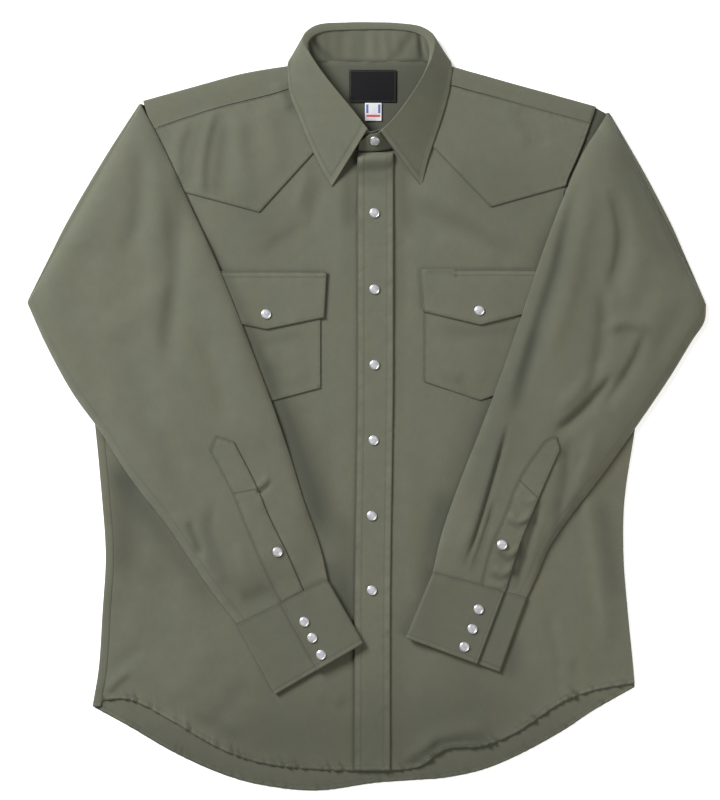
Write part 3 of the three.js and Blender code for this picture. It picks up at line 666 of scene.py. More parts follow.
def column(rows: Sequence[Sequence[float]], number: int) -> Table:
    """Smooth function from the first column of a table to another."""
    return Table([row[0] for row in rows], [row[number] for row in rows])


back_hem, front_hem = column(HEM, 1), column(HEM, 2)
shoulder_fold, shoulder_seam = column(SHOULDER, 1), column(SHOULDER, 2)
FLANK = {Side.RIGHT: column(SIDES, 1), Side.LEFT: column(SIDES, 2)}
ARM = {Side.RIGHT: column(ARMHOLE, 1), Side.LEFT: column(ARMHOLE, 2)}


def body_edge(side: Side, y: Array) -> Array:
    """x of the body's edge: the side seam below the armpit, the armhole above it."""
    return np.where(np.asarray(y) < ARMPIT_Y, FLANK[side](y), ARM[side](y))


def seam_in(y: Array) -> Array:
    """How far the back comes round to the front on the right side."""
    return SEAM_IN * (1 - ease(50, ARMPIT_Y, y))


def armhole_y(step: Array) -> Array:
    """Height of a place a number of equal steps up the armhole."""
    return np.interp(step, np.arange(len(ARMHOLE_STEPS)), ARMHOLE_STEPS)


def neck_rise(y: Array) -> Array:
    """How far the back yoke has climbed towards the back neck seam."""
    return PITCH * np.clip((y - NECK_RISE_FROM) / (NECK_RISE_TO - NECK_RISE_FROM), 0, 1)


def yoke_back_seam(x: Array) -> Array:
    """Lower seam of the back yoke, a shallow straight V."""
    reach = np.where(np.asarray(x) < MIDDLE_X, body_edge(Side.RIGHT, YOKE_BACK_SIDE) - MIDDLE_X,
                     body_edge(Side.LEFT, YOKE_BACK_SIDE) - MIDDLE_X)
    return mix(YOKE_BACK_POINT, YOKE_BACK_SIDE, (x - MIDDLE_X) / reach)


def band_edge(y: Array, left: bool) -> Array:
    """x of the left or right edge of the front band, a little narrower low down."""
    return (BAND_LEFT if left else BAND_RIGHT) - BAND_TAPER * (1 - ease(-260, 60, y))


# Each row of a fold table: points of the line, width, height, and lean where it isn't even.
# Creases of the fronts and yokes
FRONT_FOLDS = folds(
    (((-62, 270), (-71, 245), (-77, 218)), 10, 2.0, 0.3),
    (((-50, 256), (-57, 228), (-64, 194)), 9, -1.5),
    (((-66, 208), (-91, 190), (-120, 169)), 10, -1.6, 0.3),
    (((-169, 342), (-181, 303), (-186, 267), (-185, 227)), 8, 3.6, -0.3),
    (((-199, 328), (-213, 290), (-211, 245)), 8, 2.4, -0.2),
    (((-150, 340), (-145, 301), (-138, 256), (-132, 228)), 14, 2.6),
    (((-102, 367), (-95, 352), (-86, 333)), 6, 2.4),
    (((-118, 349), (-107, 301), (-102, 256)), 14, 2.0),
    (((-143, 329), (-145, 290), (-143, 245)), 12, 1.0),
    (((151, 340), (164, 319), (182, 292)), 8, 1.4),
    (((173, 340), (185, 319), (202, 290)), 7, -1.7),
    (((100, 333), (108, 290), (131, 250)), 12, -1.3),
    (((42, 251), (79, 233), (117, 215), (173, 179)), 13, 3.2, -0.2),
    (((72, 188), (117, 177), (155, 157)), 12, 2.0),
    (((221, 238), (189, 149), (164, 86), (140, 13), (111, -66), (89, -140), (72, -196)), 19, -2.5),
    (((-175, 177), (-141, 94), (-108, 5), (-86, -56), (-71, -102), (-50, -169)), 20, 4.6),
    (((-102, 30), (-84, -27), (-66, -85), (-50, -140)), 17, 3.0),
    (((244, -79), (257, -151), (266, -219), (277, -277)), 11, 3.8, 0.3),
    (((203, -219), (214, -270), (225, -334)), 7, -1.7),
    (((216, -293), (225, -314), (230, -334)), 5, 2.0),
    (((232, -284), (241, -307), (253, -325)), 5, -1.6),
    (((-297, -38), (-286, -106), (-284, -173), (-290, -244)), 13, 3.6, 0.3),
    (((-256, -83), (-245, -140), (-249, -207)), 16, 2.0),
    (((-213, -169), (-231, -241), (-245, -300)), 20, -1.5),
    (((-168, -259), (-199, -305), (-236, -334)), 16, 1.6),
    (((-129, -305), (-157, -345), (-190, -368)), 12, -1.8),
    (((-294, -325), (-283, -311), (-265, -298)), 5, 2.6, 0.4),
    (((-285, -295), (-272, -286), (-251, -271)), 8, -1.6),
    (((50, -390), (78, -375), (110, -367), (144, -365)), 8, 3.6, 0.4),
    (((40, -397), (60, -388), (81, -375)), 7, 2.2, -0.3),
    (((79, -264), (97, -314), (117, -350)), 20, 1.4),
    (((38, -207), (51, -275), (42, -338)), 14, -1.2),
    (((-58, -281), (-44, -320), (-19, -338)), 12, 1.6),
    (((-53, -329), (-34, -340), (-14, -332)), 6, -1.2),
    (((-24, 270), (-29, 199), (-23, 120)), 9, 0.9),
    (((38, 220), (44, 143), (40, 69)), 10, -1.0),
    (((-32, -4), (-38, -72), (-32, -151), (-37, -230)), 12, -1.0),
    (((40, -15), (49, -106), (42, -185)), 12, 1.0),
)
# Painted shade and painted shadow: places deep between the layers, in folds and beside the sleeves; here the
# heights are shares of darkness
FRONT_SHADES = folds(
    (((-132, 64), (-100, 2), (-77, -55), (-57, -111), (-44, -173)), 18, 0.75),
    (((-53, -169), (-32, -205), (-21, -247)), 15, 0.6),
    (((-297, -29), (-274, -79), (-240, -128), (-197, -190), (-159, -247)), 13, 0.5),
    (((-281, -50), (-272, -128), (-281, -206)), 24, 0.6),
    (((90, 262), (140, 250), (200, 240)), 40, 0.3),
    (((241, 245), (207, 163), (182, 95), (157, 30), (128, -38), (100, -117), (74, -207)), 17, 0.55),
    (((262, -92), (273, -151), (283, -230)), 11, 0.35),
    (((158, -253), (166, -284), (158, -311)), 10, 0.5),
    (((34, -403), (58, -397), (82, -382), (112, -378), (146, -374)), 5, 0.95),
    (((-204, -341), (-171, -359), (-138, -375)), 9, 0.3),
    (((42, 238), (79, 220), (117, 202), (167, 170)), 10, 0.3),
    (((-160, 333), (-164, 290), (-172, 228)), 7, 0.4),
    (((-181, 335), (-194, 294), (-202, 245)), 6, 0.3),
    (((-94, 367), (-89, 346), (-79, 324)), 5, 0.4),
    (((-62, 279), (-68, 249), (-75, 218)), 7, 0.3),
    (((-25, -106), (-23, -185), (-24, -264)), 12, 0.5),
    (((90, -83), (77, -140), (69, -179), (60, -219)), 14, 0.6),
    (((-19, 290), (-21, 245), (-19, 194)), 10, 0.45),
    (((40, 290), (42, 239), (45, 188)), 9, 0.4),
    (((-143, 245), (-118, 205), (-75, 166)), 30, 0.25),
)
# Painted shade over the lower front, painted shadow along the right sleeve's inner edge, and painted shadow
# on the back's strip below the front hem
LOW_SHADE = Fold(((-220, -360), (-60, -375), (60, -368), (220, -320)), 72, 0.55)
SLEEVE_SHADE = Fold(((-212, 252), (-190, 204), (-162, 152), (-132, 86), (-100, 8), (-80, -50), (-62, -102),
                     (-42, -160)), 7, 0.6)
BACK_SHADE = Fold(((-350, -318), (-268, -361), (-168, -413), (-56, -433), (58, -421), (171, -394),
                   (259, -342), (330, -300)), 34, 0.6)
SWELL = 2.6
FRONT_RIPPLES = (Ripple(3, 120, 0.32, 1.4), Ripple(5, 46, 0.10, 1.6))


def front_relief(x: Array, y: Array) -> Array:
    """How the front lies over the back: the air under it, its creases and gentle ripples.

    The air fades out at the sides, the hem and the shoulders. The sum is kept above nothing.
    """
    in_x = np.minimum(x - body_edge(Side.RIGHT, y), body_edge(Side.LEFT, y) - x)
    air = SWELL * ease(0, 45, in_x) * ease(0, 60, y - front_hem(x)) * (1 - ease(225, 320, y))
    lift = relief(FRONT_FOLDS, x, y) + relief(FRONT_RIPPLES, x, y)
    calm = 1 - 0.8 * ease(250, 345, y) * (1 - ease(60, 110, np.abs(x - MIDDLE_X)))
    return np.maximum(air + lift * calm, 0.0) + 0.05


def front_height(x: Array, y: Array) -> Array:
    """Middle of the right front's cloth over the plan."""
    return FRONT_Z + front_relief(x, y)


def left_front_height(x: Array, y: Array) -> Array:
    """Middle of the left front's cloth, which climbs over the right front's underlap."""
    return front_height(x, y) + PITCH * (1 - ease(UNDERLAP_X + 2, UNDERLAP_X + 2 + LAP_FADE, x))


def height_of(side: Side) -> Height:
    """Height function of one front."""
    return front_height if side is Side.RIGHT else left_front_height


def outside(x: Array, y: Array, left: float, right: float, low: float, top: float) -> Array:
    """How far a place lies outside a rectangle."""
    across, along = np.maximum(left - x, x - right), np.maximum(low - y, y - top)
    return np.hypot(np.maximum(across, 0), np.maximum(along, 0))


def outside_in(x: Array, y: Array, left: float, right: float, low: float, top: float) -> Array:
    """How far a place lies inside a rectangle, 0 outside it."""
    return np.maximum(np.minimum.reduce([x - left, right - x, y - low, top - y]), 0)


# What lies on the fronts lifts the layers over it, less and less over the reach beside it
YOKE_LIFT, POCKET_LIFT, BAND_LIFT, SLEEVE_LIFT = 1.4, 2.9, 3.4, 1.7
YOKE_FROM, YOKE_TO = 165.0, 205.0
LIFT_FROM, BAND_LIFT_FROM, LIFT_TO = 25.0, 34.0, 75.0
POCKET_LOW = 7.0


def over_height(x: Array, y: Array) -> Array:
    """Height of the lower layer of what is folded over the front: over yokes, pockets and band."""
    lifts = [YOKE_LIFT * ease(YOKE_FROM, YOKE_TO, y),
             BAND_LIFT * (1 - ease(BAND_LIFT_FROM, LIFT_TO, np.abs(x - MIDDLE_X)))]
    for flap in FLAP_SHAPES.values():
        beside = outside(x, y, flap.left, flap.right, POCKET_LOW, flap.top)
        lifts.append(POCKET_LIFT * (1 - ease(LIFT_FROM, LIFT_TO, beside)))
    return FRONT_Z + SLEEVE_LIFT + np.maximum.reduce(lifts) + front_relief(x, y)


def node_group(name: str, inputs: dict[str, float | tuple],
               outputs: dict[str, str]) -> bpy.types.ShaderNodeTree:
    """Makes an empty shader node group with named sockets.

    Args:
        name: Name of the group.
        inputs: Socket names and default values; a tuple of 3 is a vector, of 4 a colour.
        outputs: Socket names and types.

    Returns:
        The group.
    """
    tree = bpy.data.node_groups.new(name, "ShaderNodeTree")
    for key, value in inputs.items():
        kind = ("NodeSocketFloat" if isinstance(value, float)
                else "NodeSocketVector" if len(value) == 3 else "NodeSocketColor")
        tree.interface.new_socket(key, in_out="INPUT", socket_type=kind).default_value = value
    for key, kind in outputs.items():
        tree.interface.new_socket(key, in_out="OUTPUT", socket_type=kind)
    return tree


class Nodes:
    """Short ways to add nodes to a tree and link them."""

    def __init__(self, tree: bpy.types.NodeTree) -> None:
        """Keeps the tree."""
        self.tree = tree

    def add(self, kind: str, inputs: dict[str | int, object] | None = None,
            **options: object) -> bpy.types.Node:
        """Adds a node.

        Args:
            kind: Node type without its ShaderNode prefix, or the whole type.
            inputs: Values or sockets for its inputs, by name or number.
            options: Settings of the node.

        Returns:
            The node.
        """
        node = self.tree.nodes.new(kind if kind.startswith("Node") else f"ShaderNode{kind}")
        for key, value in options.items():
            setattr(node, key, value)
        self.fill(node, inputs or {})
        return node

    def fill(self, node: bpy.types.Node, inputs: dict[str | int, object]) -> None:
        """Sets or links the inputs of a node, by name or number."""
        for key, value in inputs.items():
            if isinstance(value, bpy.types.NodeSocket):
                self.tree.links.new(value, node.inputs[key])
            else:
                node.inputs[key].default_value = value

    def math(self, operation: str, *values: object) -> bpy.types.NodeSocket:
        """A number worked out from up to three numbers or sockets."""
        return self.add("Math", dict(enumerate(values)), operation=operation).outputs[0]

    def blend(self, share: object, one: object, two: object, kind: str = "MIX") -> bpy.types.NodeSocket:
        """A mix of two colours."""
        return self.add("Mix", {0: share, 6: one, 7: two}, data_type="RGBA", blend_type=kind).outputs[2]

    def noise(self, place: object, scale: float, detail: float = 2.0,
              roughness: float = 0.5) -> bpy.types.NodeSocket:
        """Noise from 0 to 1 at a place."""
        values = {"Vector": place, "Scale": scale, "Detail": detail, "Roughness": roughness}
        return self.add("TexNoise", values).outputs[0]

    def bump(self, height: object, strength: float, distance: float) -> bpy.types.NodeSocket:
        """A normal tilted by a height."""
        return self.add("Bump", {"Strength": strength, "Distance": distance, "Height": height}).outputs[0]


def new_material(name: str) -> tuple[bpy.types.Material, bpy.types.Node, Nodes]:
    """A new material, its Principled shader, and its tree to add nodes to."""
    material = bpy.data.materials.new(name)
    material.use_nodes = True
    return material, material.node_tree.nodes["Principled BSDF"], Nodes(material.node_tree)


def weave_group() -> bpy.types.ShaderNodeTree:
    """Twill: slanting ribs on the cloth's own map, each cut into short floats by the weft.

    The height is a sine of the slanted distance, times a slower sine along the rib, plus the
    thickness of each thread, from noise stretched along the warp.
    """
    tree = node_group("twill weave", {"Map": (0.0, 0.0, 0.0), "Rib": 0.0009},
                       {"Height": "NodeSocketFloat", "Slub": "NodeSocketFloat"})
    n = Nodes(tree)
    given = n.add("NodeGroupInput").outputs
    split = n.add("SeparateXYZ", {0: given["Map"]}).outputs
    turn = n.math("DIVIDE", 2 * math.pi, given["Rib"])
    drift = n.noise(given["Map"], 420.0)
    slant = n.math("MULTIPLY_ADD", n.math("ADD", split[0], n.math("MULTIPLY", split[1], 0.58)), turn,
                   n.math("MULTIPLY", drift, 14.0))
    floats = n.math("MULTIPLY", n.math("SUBTRACT", split[1], n.math("MULTIPLY", split[0], 0.35)), turn)
    rib = n.math("SINE", slant)
    cut = n.math("MULTIPLY_ADD", n.math("SINE", floats), 0.3, 0.7)
    warp = n.add("Mapping", {"Vector": given["Map"], "Scale": (900.0, 90.0, 1.0)}).outputs[0]
    slub = n.noise(warp, 1.0, 3.0, 0.6)
    height = n.math("ADD", n.math("MULTIPLY", rib, cut), n.math("MULTIPLY", slub, 0.9))
    n.add("NodeGroupOutput", {"Height": height, "Slub": slub})
    return tree


def fade_group() -> bpy.types.ShaderNodeTree:
    """Washed colour: cool and warm patches, pale edges of wear and painted highlight, and painted shade in
    thread lines, folds and gaps.
    """
    tree = node_group("washed colour", {
        "Cool": (0.5, 0.5, 0.5, 1.0), "Warm": (0.5, 0.5, 0.5, 1.0), "Pale": (0.5, 0.5, 0.5, 1.0),
        "Shade Colour": (0.1, 0.1, 0.1, 1.0), "Map": (0.0, 0.0, 0.0), "Slub": 0.5, "Wear And Highlight": 0.0, "Painted Shade": 0.0,
    }, {"Color": "NodeSocketColor", "Rough": "NodeSocketFloat"})
    n = Nodes(tree)
    given = n.add("NodeGroupInput").outputs
    place = n.add("TexCoord").outputs["Object"]
    warp = n.add("Mapping", {"Vector": given["Map"], "Scale": (30.0, 6.0, 1.0)}).outputs[0]
    broad = n.noise(warp, 1.0, 3.0)
    small = n.noise(place, 70.0, 4.0, 0.6)
    share = n.add("MapRange", {0: broad, 1: 0.3, 2: 0.7}).outputs[0]
    cloth = n.blend(share, given["Cool"], given["Warm"])
    speck = n.add("MapRange", {0: small, 1: 0.2, 2: 0.8, 3: 0.93, 4: 1.07}).outputs[0]
    thread = n.add("MapRange", {0: given["Slub"], 1: 0.25, 2: 0.75, 3: 0.95, 4: 1.05}).outputs[0]
    tone = n.math("MULTIPLY", speck, thread)
    cloth = n.blend(1.0, cloth, n.add("CombineColor", {0: tone, 1: tone, 2: tone}).outputs[0], "MULTIPLY")
    # Paler near edges and seams: wear together with painted highlight
    rubbed_and_lit = n.math("MULTIPLY", given["Wear And Highlight"], n.add("MapRange", {0: small, 1: 0.25, 2: 0.6}).outputs[0])
    cloth = n.blend(n.math("MULTIPLY", rubbed_and_lit, 0.72), cloth, given["Pale"])
    # Painted shade: darker in thread grooves, pucker valleys, folds, gaps and beside raised layers
    cloth = n.blend(n.math("MULTIPLY", given["Painted Shade"], 0.66), cloth, given["Shade Colour"])
    rough = n.math("MULTIPLY_ADD", small, 0.12, 0.8)
    n.add("NodeGroupOutput", {"Color": cloth, "Rough": rough})
    return tree


@dataclass(frozen=True)
class TwillFinish:
    """Washed cotton twill: matt, with a faint nap, pale edges of wear and painted highlight, and painted
    shade in thread lines, folds and gaps.
    """

    name: str
    cool: tuple[float, float, float, float] = (0.0965, 0.1, 0.0735, 1.0)
    warm: tuple[float, float, float, float] = (0.101, 0.1005, 0.0675, 1.0)
    # The pale colour is for edges of wear and painted highlight, the darkest one for painted shade
    pale: tuple[float, float, float, float] = (0.150, 0.150, 0.108, 1.0)
    shade_colour: tuple[float, float, float, float] = (0.030, 0.032, 0.023, 1.0)
    rib: float = 0.0008

    def make(self, weave: bpy.types.ShaderNodeTree, fade: bpy.types.ShaderNodeTree) -> bpy.types.Material:
        """Builds the material from the shared weave and colour groups."""
        material, shader, n = new_material(self.name)
        cut = n.add("UVMap", uv_map="cut").outputs[0]
        cloth = n.add("Group", {"Map": cut, "Rib": self.rib}, node_tree=weave)
        washed = n.add("Group", {
            "Cool": self.cool, "Warm": self.warm, "Pale": self.pale, "Shade Colour": self.shade_colour, "Map": cut,
            "Slub": cloth.outputs["Slub"],
            # Paleness from wear and painted highlight, and painted shade, read from the mesh's attributes
            "Wear And Highlight": n.add("Attribute", attribute_name="wear_and_highlight").outputs["Fac"],
            "Painted Shade": n.add("Attribute", attribute_name="painted_shade").outputs["Fac"],
        }, node_tree=fade)
        n.fill(shader, {
            "Base Color": washed.outputs["Color"], "Roughness": washed.outputs["Rough"],
            "Normal": n.bump(cloth.outputs["Height"], 0.35, 0.00025), "Specular IOR Level": 0.25,
            "Sheen Weight": 0.22, "Sheen Roughness": 0.6, "Sheen Tint": (0.72, 0.75, 0.68, 1.0),
        })
        return material


@dataclass(frozen=True)
class PlainFinish:
    """A small part's finish: one colour with fine noise in its tone and bump."""

    name: str
    color: tuple[float, float, float, float]
    second: tuple[float, float, float, float]
    roughness: float
    metallic: float = 0.0
    coat: float = 0.0
    scale: float = 400.0
    bump: float = 0.1
    specular: float = 0.5

    def make(self) -> bpy.types.Material:
        """Builds the material on the piece's own coordinates."""
        material, shader, n = new_material(self.name)
        noise = n.noise(n.add("TexCoord").outputs["Object"], self.scale, 3.0)
        share = n.add("MapRange", {0: noise, 1: 0.35, 2: 0.65}).outputs[0]
        n.fill(shader, {
            "Base Color": n.blend(share, self.color, self.second),
            "Roughness": n.math("MULTIPLY_ADD", noise, 0.1, self.roughness - 0.05),
            "Normal": n.bump(noise, self.bump, 0.0001), "Metallic": self.metallic,
            "Coat Weight": self.coat, "Coat Roughness": 0.08, "Specular IOR Level": self.specular,
        })
        return material


@dataclass(frozen=True)
class Finishes:
    """All the materials, made once."""

    twill: bpy.types.Material
    thread: bpy.types.Material
    label: bpy.types.Material
    tag: bpy.types.Material
    pearl: bpy.types.Material
    rim: bpy.types.Material

    @staticmethod
    def make() -> "Finishes":
        """Builds the shared node groups and every material."""
        weave, fade = weave_group(), fade_group()
        return Finishes(
            twill=TwillFinish("olive twill").make(weave, fade),
            thread=PlainFinish("olive thread", (0.105, 0.108, 0.08, 1), (0.15, 0.152, 0.115, 1), 0.75).make(),
            label=PlainFinish("black label", (0.005, 0.005, 0.006, 1), (0.009, 0.009, 0.01, 1), 0.7,
                              scale=900.0, bump=0.2, specular=0.12).make(),
            tag=tag_material(),
            pearl=PlainFinish("pearl", (0.52, 0.53, 0.57, 1), (0.36, 0.37, 0.40, 1), 0.25, 0.2, 0.6,
                              scale=260.0, bump=0.1).make(),
            rim=PlainFinish("snap rim", (0.72, 0.71, 0.69, 1), (0.6, 0.6, 0.59, 1), 0.4, 1.0,
                            scale=500.0).make(),
        )


def tag_material() -> bpy.types.Material:
    """White woven tag with two plain blue bands and a red one, on its own map."""
    material, shader, n = new_material("banded tag")
    cut = n.add("SeparateXYZ", {0: n.add("UVMap", uv_map="cut").outputs[0]}).outputs

    def band(value: object, low: float, high: float) -> object:
        """1 between two places on the map, else 0."""
        return n.math("MULTIPLY", n.math("GREATER_THAN", value, low), n.math("LESS_THAN", value, high))

    sides = n.math("MAXIMUM", band(cut[0], 0.0012, 0.0038), band(cut[0], 0.0147, 0.0173))
    blue = n.math("MULTIPLY", sides, band(cut[1], 0.0085, 0.0185))
    red = n.math("MULTIPLY", band(cut[1], 0.0042, 0.0068), band(cut[0], 0.0012, 0.0173))
    cloth = n.blend(blue, (0.6, 0.6, 0.61, 1.0), (0.07, 0.11, 0.34, 1.0))
    cloth = n.blend(red, cloth, (0.55, 0.06, 0.08, 1.0))
    weave = n.bump(n.noise(n.add("TexCoord").outputs["Object"], 1500.0), 0.2, 0.0001)
    n.fill(shader, {"Base Color": cloth, "Normal": weave, "Roughness": 0.8})
    return material


@dataclass
class Workshop:
    """Finishes every piece: its material and its body, and hides the CAD parts that it replaces."""

    finishes: Finishes
    made: list[bpy.types.Object] = field(default_factory=list)

    def piece(self, made: bpy.types.Object, material: bpy.types.Material, slot: str,
              *nodes: str) -> bpy.types.Object:
        """Dresses a piece and lets it ride on the one body.

        Args:
            made: The object.
            material: Its material.
            slot: Not used.
            nodes: CAD nodes that it replaces.

        Returns:
            The same object.
        """
        made.data.materials.append(material)
        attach(made, "root")
        if nodes:
            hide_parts(*nodes)
        self.made.append(made)
        log.info("%s: %d faces", made.name, len(made.data.polygons))
        return made

    def cloth(self, name: str, cloth: Cloth, flat: Place, held: str, rests_on: Sequence[str],
              node: str, stitches: Stitches | None = None, slot: str = "twill",
              material: bpy.types.Material | None = None) -> bpy.types.Object:
        """Makes and dresses a sheet of cloth, with its stitches.

        Args:
            name: Name of the piece.
            cloth: Its grid.
            flat: Not used.
            held: Not used.
            rests_on: Not used.
            node: CAD node that it replaces.
            stitches: Threads on it.
            slot: Passed on to piece, which does not use it.
            material: Its material, olive twill where none is given.

        Returns:
            The piece.
        """
        made = self.piece(cloth.mesh(name), material or self.finishes.twill, slot, node)
        if stitches is not None and stitches.places:
            self.piece(stitches.mesh(), self.finishes.thread, slot)
        return made


@dataclass
class Panel:
    """A sewn sheet over the plan: its map, its height, the seams on it and the folds of its painted shade."""

    plan: Array
    height: Height
    seams: tuple[Seam, ...] = ()
    shades: tuple[Fold, ...] = ()

    def lifted(self, x: Array, y: Array) -> Array:
        """Height of the middle with all its seams."""
        return self.height(x, y) + sum(seam.lift(x, y) for seam in self.seams)

    def face(self, x: Array, y: Array) -> Array:
        """Height of the upper face."""
        return self.lifted(x, y) + WALL / 2

    def cloth(self, wall: float = WALL) -> Cloth:
        """The sheet with its paleness from wear and painted highlight, and its painted shade at seams and in
        the shade folds.
        """
        x, y = self.plan[..., 0], self.plan[..., 1]
        made = Cloth(np.stack([x, y, self.lifted(x, y)], -1), wall)
        wear_and_highlight = sum((seam.wear_and_highlight(x, y) for seam in self.seams), np.zeros_like(x))
        painted_shade = sum((seam.painted_shade(x, y) for seam in self.seams), np.zeros_like(x))
        painted_shade = painted_shade + relief(self.shades, x, y)
        made.wear_and_highlight, made.painted_shade = np.clip(wear_and_highlight, 0, 1), np.clip(painted_shade, 0, 1)
        return made

    def stitch(self, stitches: Stitches, ends: float = 2.0) -> Stitches:
        """Lays the threads of every seam on the upper face.

        Args:
            stitches: Where they are added.
            ends: How far from the ends of its edge a line stops.

        Returns:
            The same stitches.
        """
        for seam in self.seams:
            for inset in seam.insets:
                line = resample(inside(resample(seam.line, 1.5), inset), 1.5)
                trim = int(ends / 1.5)
                stitches.add_on(self.face, line[trim:len(line) - trim] if trim else line)
        return stitches


# The strip of the back brought over the front: the angle of each column round the turn, and how
# much of the way from the turn to the seam it lies
CURL_ANGLES = (90.0, 90.0, 90.0, 60.0, 30.0, 0.0, -30.0, -60.0)
CURL_FLAT = (1.0, 0.62, 0.3, 0.0, 0.0, 0.0, 0.0, 0.0)

# The left front's hem where it is flipped up beside the band
FLIPPED_HEM = ((63, -407), (74, -394), (90, -385), (108, -384), (138, -380))

# Columns of the back yoke inside the neck, and the line of the back neck seam: x, y
INSIDE_NECK_X = (-70, -66.5, -63, -58, -53, -47, -40, -33, -26, -18, -10, 0, MIDDLE_X, 16, 24, 32, 40, 48, 57,
                 66, 73, 79, 82, 85)
BACK_NECK = ((-70, 381), (-63, 386.5), (-47, 389.5), (MIDDLE_X, 389.5), (66, 389.5), (79, 386.5), (85, 381))


@dataclass
class Body:
    """Back panel, back yoke, both fronts and both front yokes."""

    hem_inset: float = 5.0
    pitch: float = 4.0
    side_gap: float = 0.7
    yoke_insets: tuple[float, float] = (2.2, 4.2)

    def back_panel(self, shop: Workshop) -> None:
        """Back panel from the hem to the yoke seam, with its right edge brought to the front."""
        start_x, end_x, armpit = -309.0, 303.5, 0.76

        def route(side: Side, low: float) -> Callable[[Array], Array]:
            """Edge of one side: straight up to the armpit, then up the armhole."""
            def edge(v: Array) -> Array:
                """Place at a share of the way up."""
                v = np.asarray(v, float)
                y = np.where(v < armpit, mix(low, ARMPIT_Y, v / armpit),
                             armhole_y(YOKE_STEP * (v - armpit) / (1 - armpit)) - SEAM_GAP * ease(0.97, 1, v))
                return points(body_edge(side, y), y)
            return edge

        right = route(Side.RIGHT, float(back_hem(start_x)))
        left = route(Side.LEFT, float(back_hem(end_x)))

        def bottom(u: Array) -> Array:
            """The hem."""
            x = mix(start_x, end_x, u)
            return points(x, back_hem(x))

        def top(u: Array) -> Array:
            """The yoke seam."""
            x = np.where(u < 0.5, mix(right(1.0)[0], MIDDLE_X, u * 2), mix(MIDDLE_X, left(1.0)[0], u * 2 - 1))
            return points(x, yoke_back_seam(x) - SEAM_GAP)

        u = shares(612, 3.2)
        low = shares(430, self.pitch, fine(self.hem_inset)) * armpit
        v = np.concatenate([low, np.linspace(armpit, 1, 32)[1:]])
        plan = between(bottom, top, right, left, u, v)
        hem = Seam(bottom(np.linspace(0, 1, 150)), (self.hem_inset,), 11, ridge=0.35, pucker=0.8, reach=7.0)

        def height(x: Array, y: Array) -> Array:
            """Flat on the surface, with the hem's puckers above it."""
            away, along, _ = nearest(x, y, hem.line)
            wave = 0.55 * np.maximum(hem.waves(along), 0) * np.exp(-away / 8)
            tail = 0.5 * Ripple(21, 70, 0.5).lift(x, y) * ease(-200, -390, y)
            return BACK_Z + wave + tail

        panel = Panel(plan, height, (hem,), (BACK_SHADE,))
        stitches = panel.stitch(Stitches("stitches_back_hem"), 10)
        shop.cloth("cloth_back_panel", self.brought_forward(panel.cloth()), (0.66, 0.65), "laid", [],
                   "back_panel", stitches)

    def brought_forward(self, grid: Cloth) -> Cloth:
        """The back with the strip along its right edge that comes up and over the front's edge.

        From the seam the strip runs flat over the front to the turn, then down a half circle
        to the back. Its width, and with it the turn, fades out above the armpit.

        Args:
            grid: The back's flat sheet.

        Returns:
            The sheet with the strip's columns before its own.
        """
        flat = grid.middle.copy()
        flat[..., 2] = np.maximum(flat[..., 2], BACK_Z - 0.03)
        normal = Cloth(flat).normals()
        edge = flat[:, 0].copy()
        inward = seam_in(edge[:, 1])
        reach = (inward / SEAM_IN)[:, None]
        radius = PITCH / 2
        angle = np.radians(CURL_ANGLES)
        columns = len(angle)
        flat_part = (inward[:, None] - radius) * np.array(CURL_FLAT) * (reach > 0)
        strip_x = radius + flat_part - radius * np.cos(angle)
        lift = front_relief(edge[:, 0] + inward, edge[:, 1])[:, None]
        strip_z = radius * (1 + np.sin(angle)) + lift * (0.5 + 0.5 * np.sin(angle))
        strip = np.stack([edge[:, None, 0] + strip_x * reach + 0.02 * np.arange(columns),
                          np.broadcast_to(edge[:, None, 1], strip_x.shape),
                          edge[:, None, 2] + strip_z * reach], -1)
        inner = -np.stack([-np.cos(angle), np.zeros(columns), np.sin(angle)], -1)
        flat[:, 0, 0] += radius * reach[:, 0]
        before = ((0, 0), (columns, 0))
        return Cloth(np.concatenate([strip, flat], axis=1), WALL,
                     normal=np.concatenate([np.broadcast_to(inner[None], strip.shape), normal], axis=1),
                     wear_and_highlight=np.pad(grid.wear_and_highlight, before, mode="edge"),
                     painted_shade=np.pad(grid.painted_shade, before, mode="edge"))

    def front(self, shop: Workshop, side: Side) -> None:
        """One front, from the side seam and armhole to the centre edge and neck seam."""
        sign = 1.0 if side is Side.RIGHT else -1.0

        def inset(y: Array) -> Array:
            """How far the edge lies inside the body's edge."""
            return seam_in(y) + self.side_gap if side is Side.RIGHT else np.zeros(np.shape(y))

        def edge_x(y: Array) -> Array:
            """x of the side edge."""
            return body_edge(side, y) + sign * inset(y)

        corner_x = float(edge_x(front_hem(body_edge(side, -330.0))))
        neck = Line(NECK_FRONT[side])
        armpit = 0.6
        neck_at = 0.6 + 0.4 * YOKE_STEP / SHOULDER_STEP

        def centre_x(y: Array) -> Array:
            """x of the centre edge."""
            return np.full(np.shape(y), UNDERLAP_X) if side is Side.RIGHT else band_edge(y, False) + 0.5

        def outer(v: Array) -> Array:
            """Side seam, then armhole."""
            v = np.asarray(v, float)
            low = mix(float(front_hem(corner_x)), ARMPIT_Y, v / armpit)
            high = armhole_y(SHOULDER_STEP * (v - armpit) / (1 - armpit))
            y = np.where(v < armpit, low, high)
            x = np.where(v < armpit, edge_x(low), body_edge(side, high) + sign * float(inset(ARMPIT_Y)))
            return points(x, y)

        def inner(v: Array) -> Array:
            """Centre edge, then neck seam."""
            v = np.asarray(v, float)
            y = mix(float(front_hem(MIDDLE_X)), NECK_FRONT[side][0][1], v / neck_at)
            round_neck = neck((v - neck_at) / (1 - neck_at))
            return np.where((v > neck_at)[..., None], round_neck, points(centre_x(y), y))

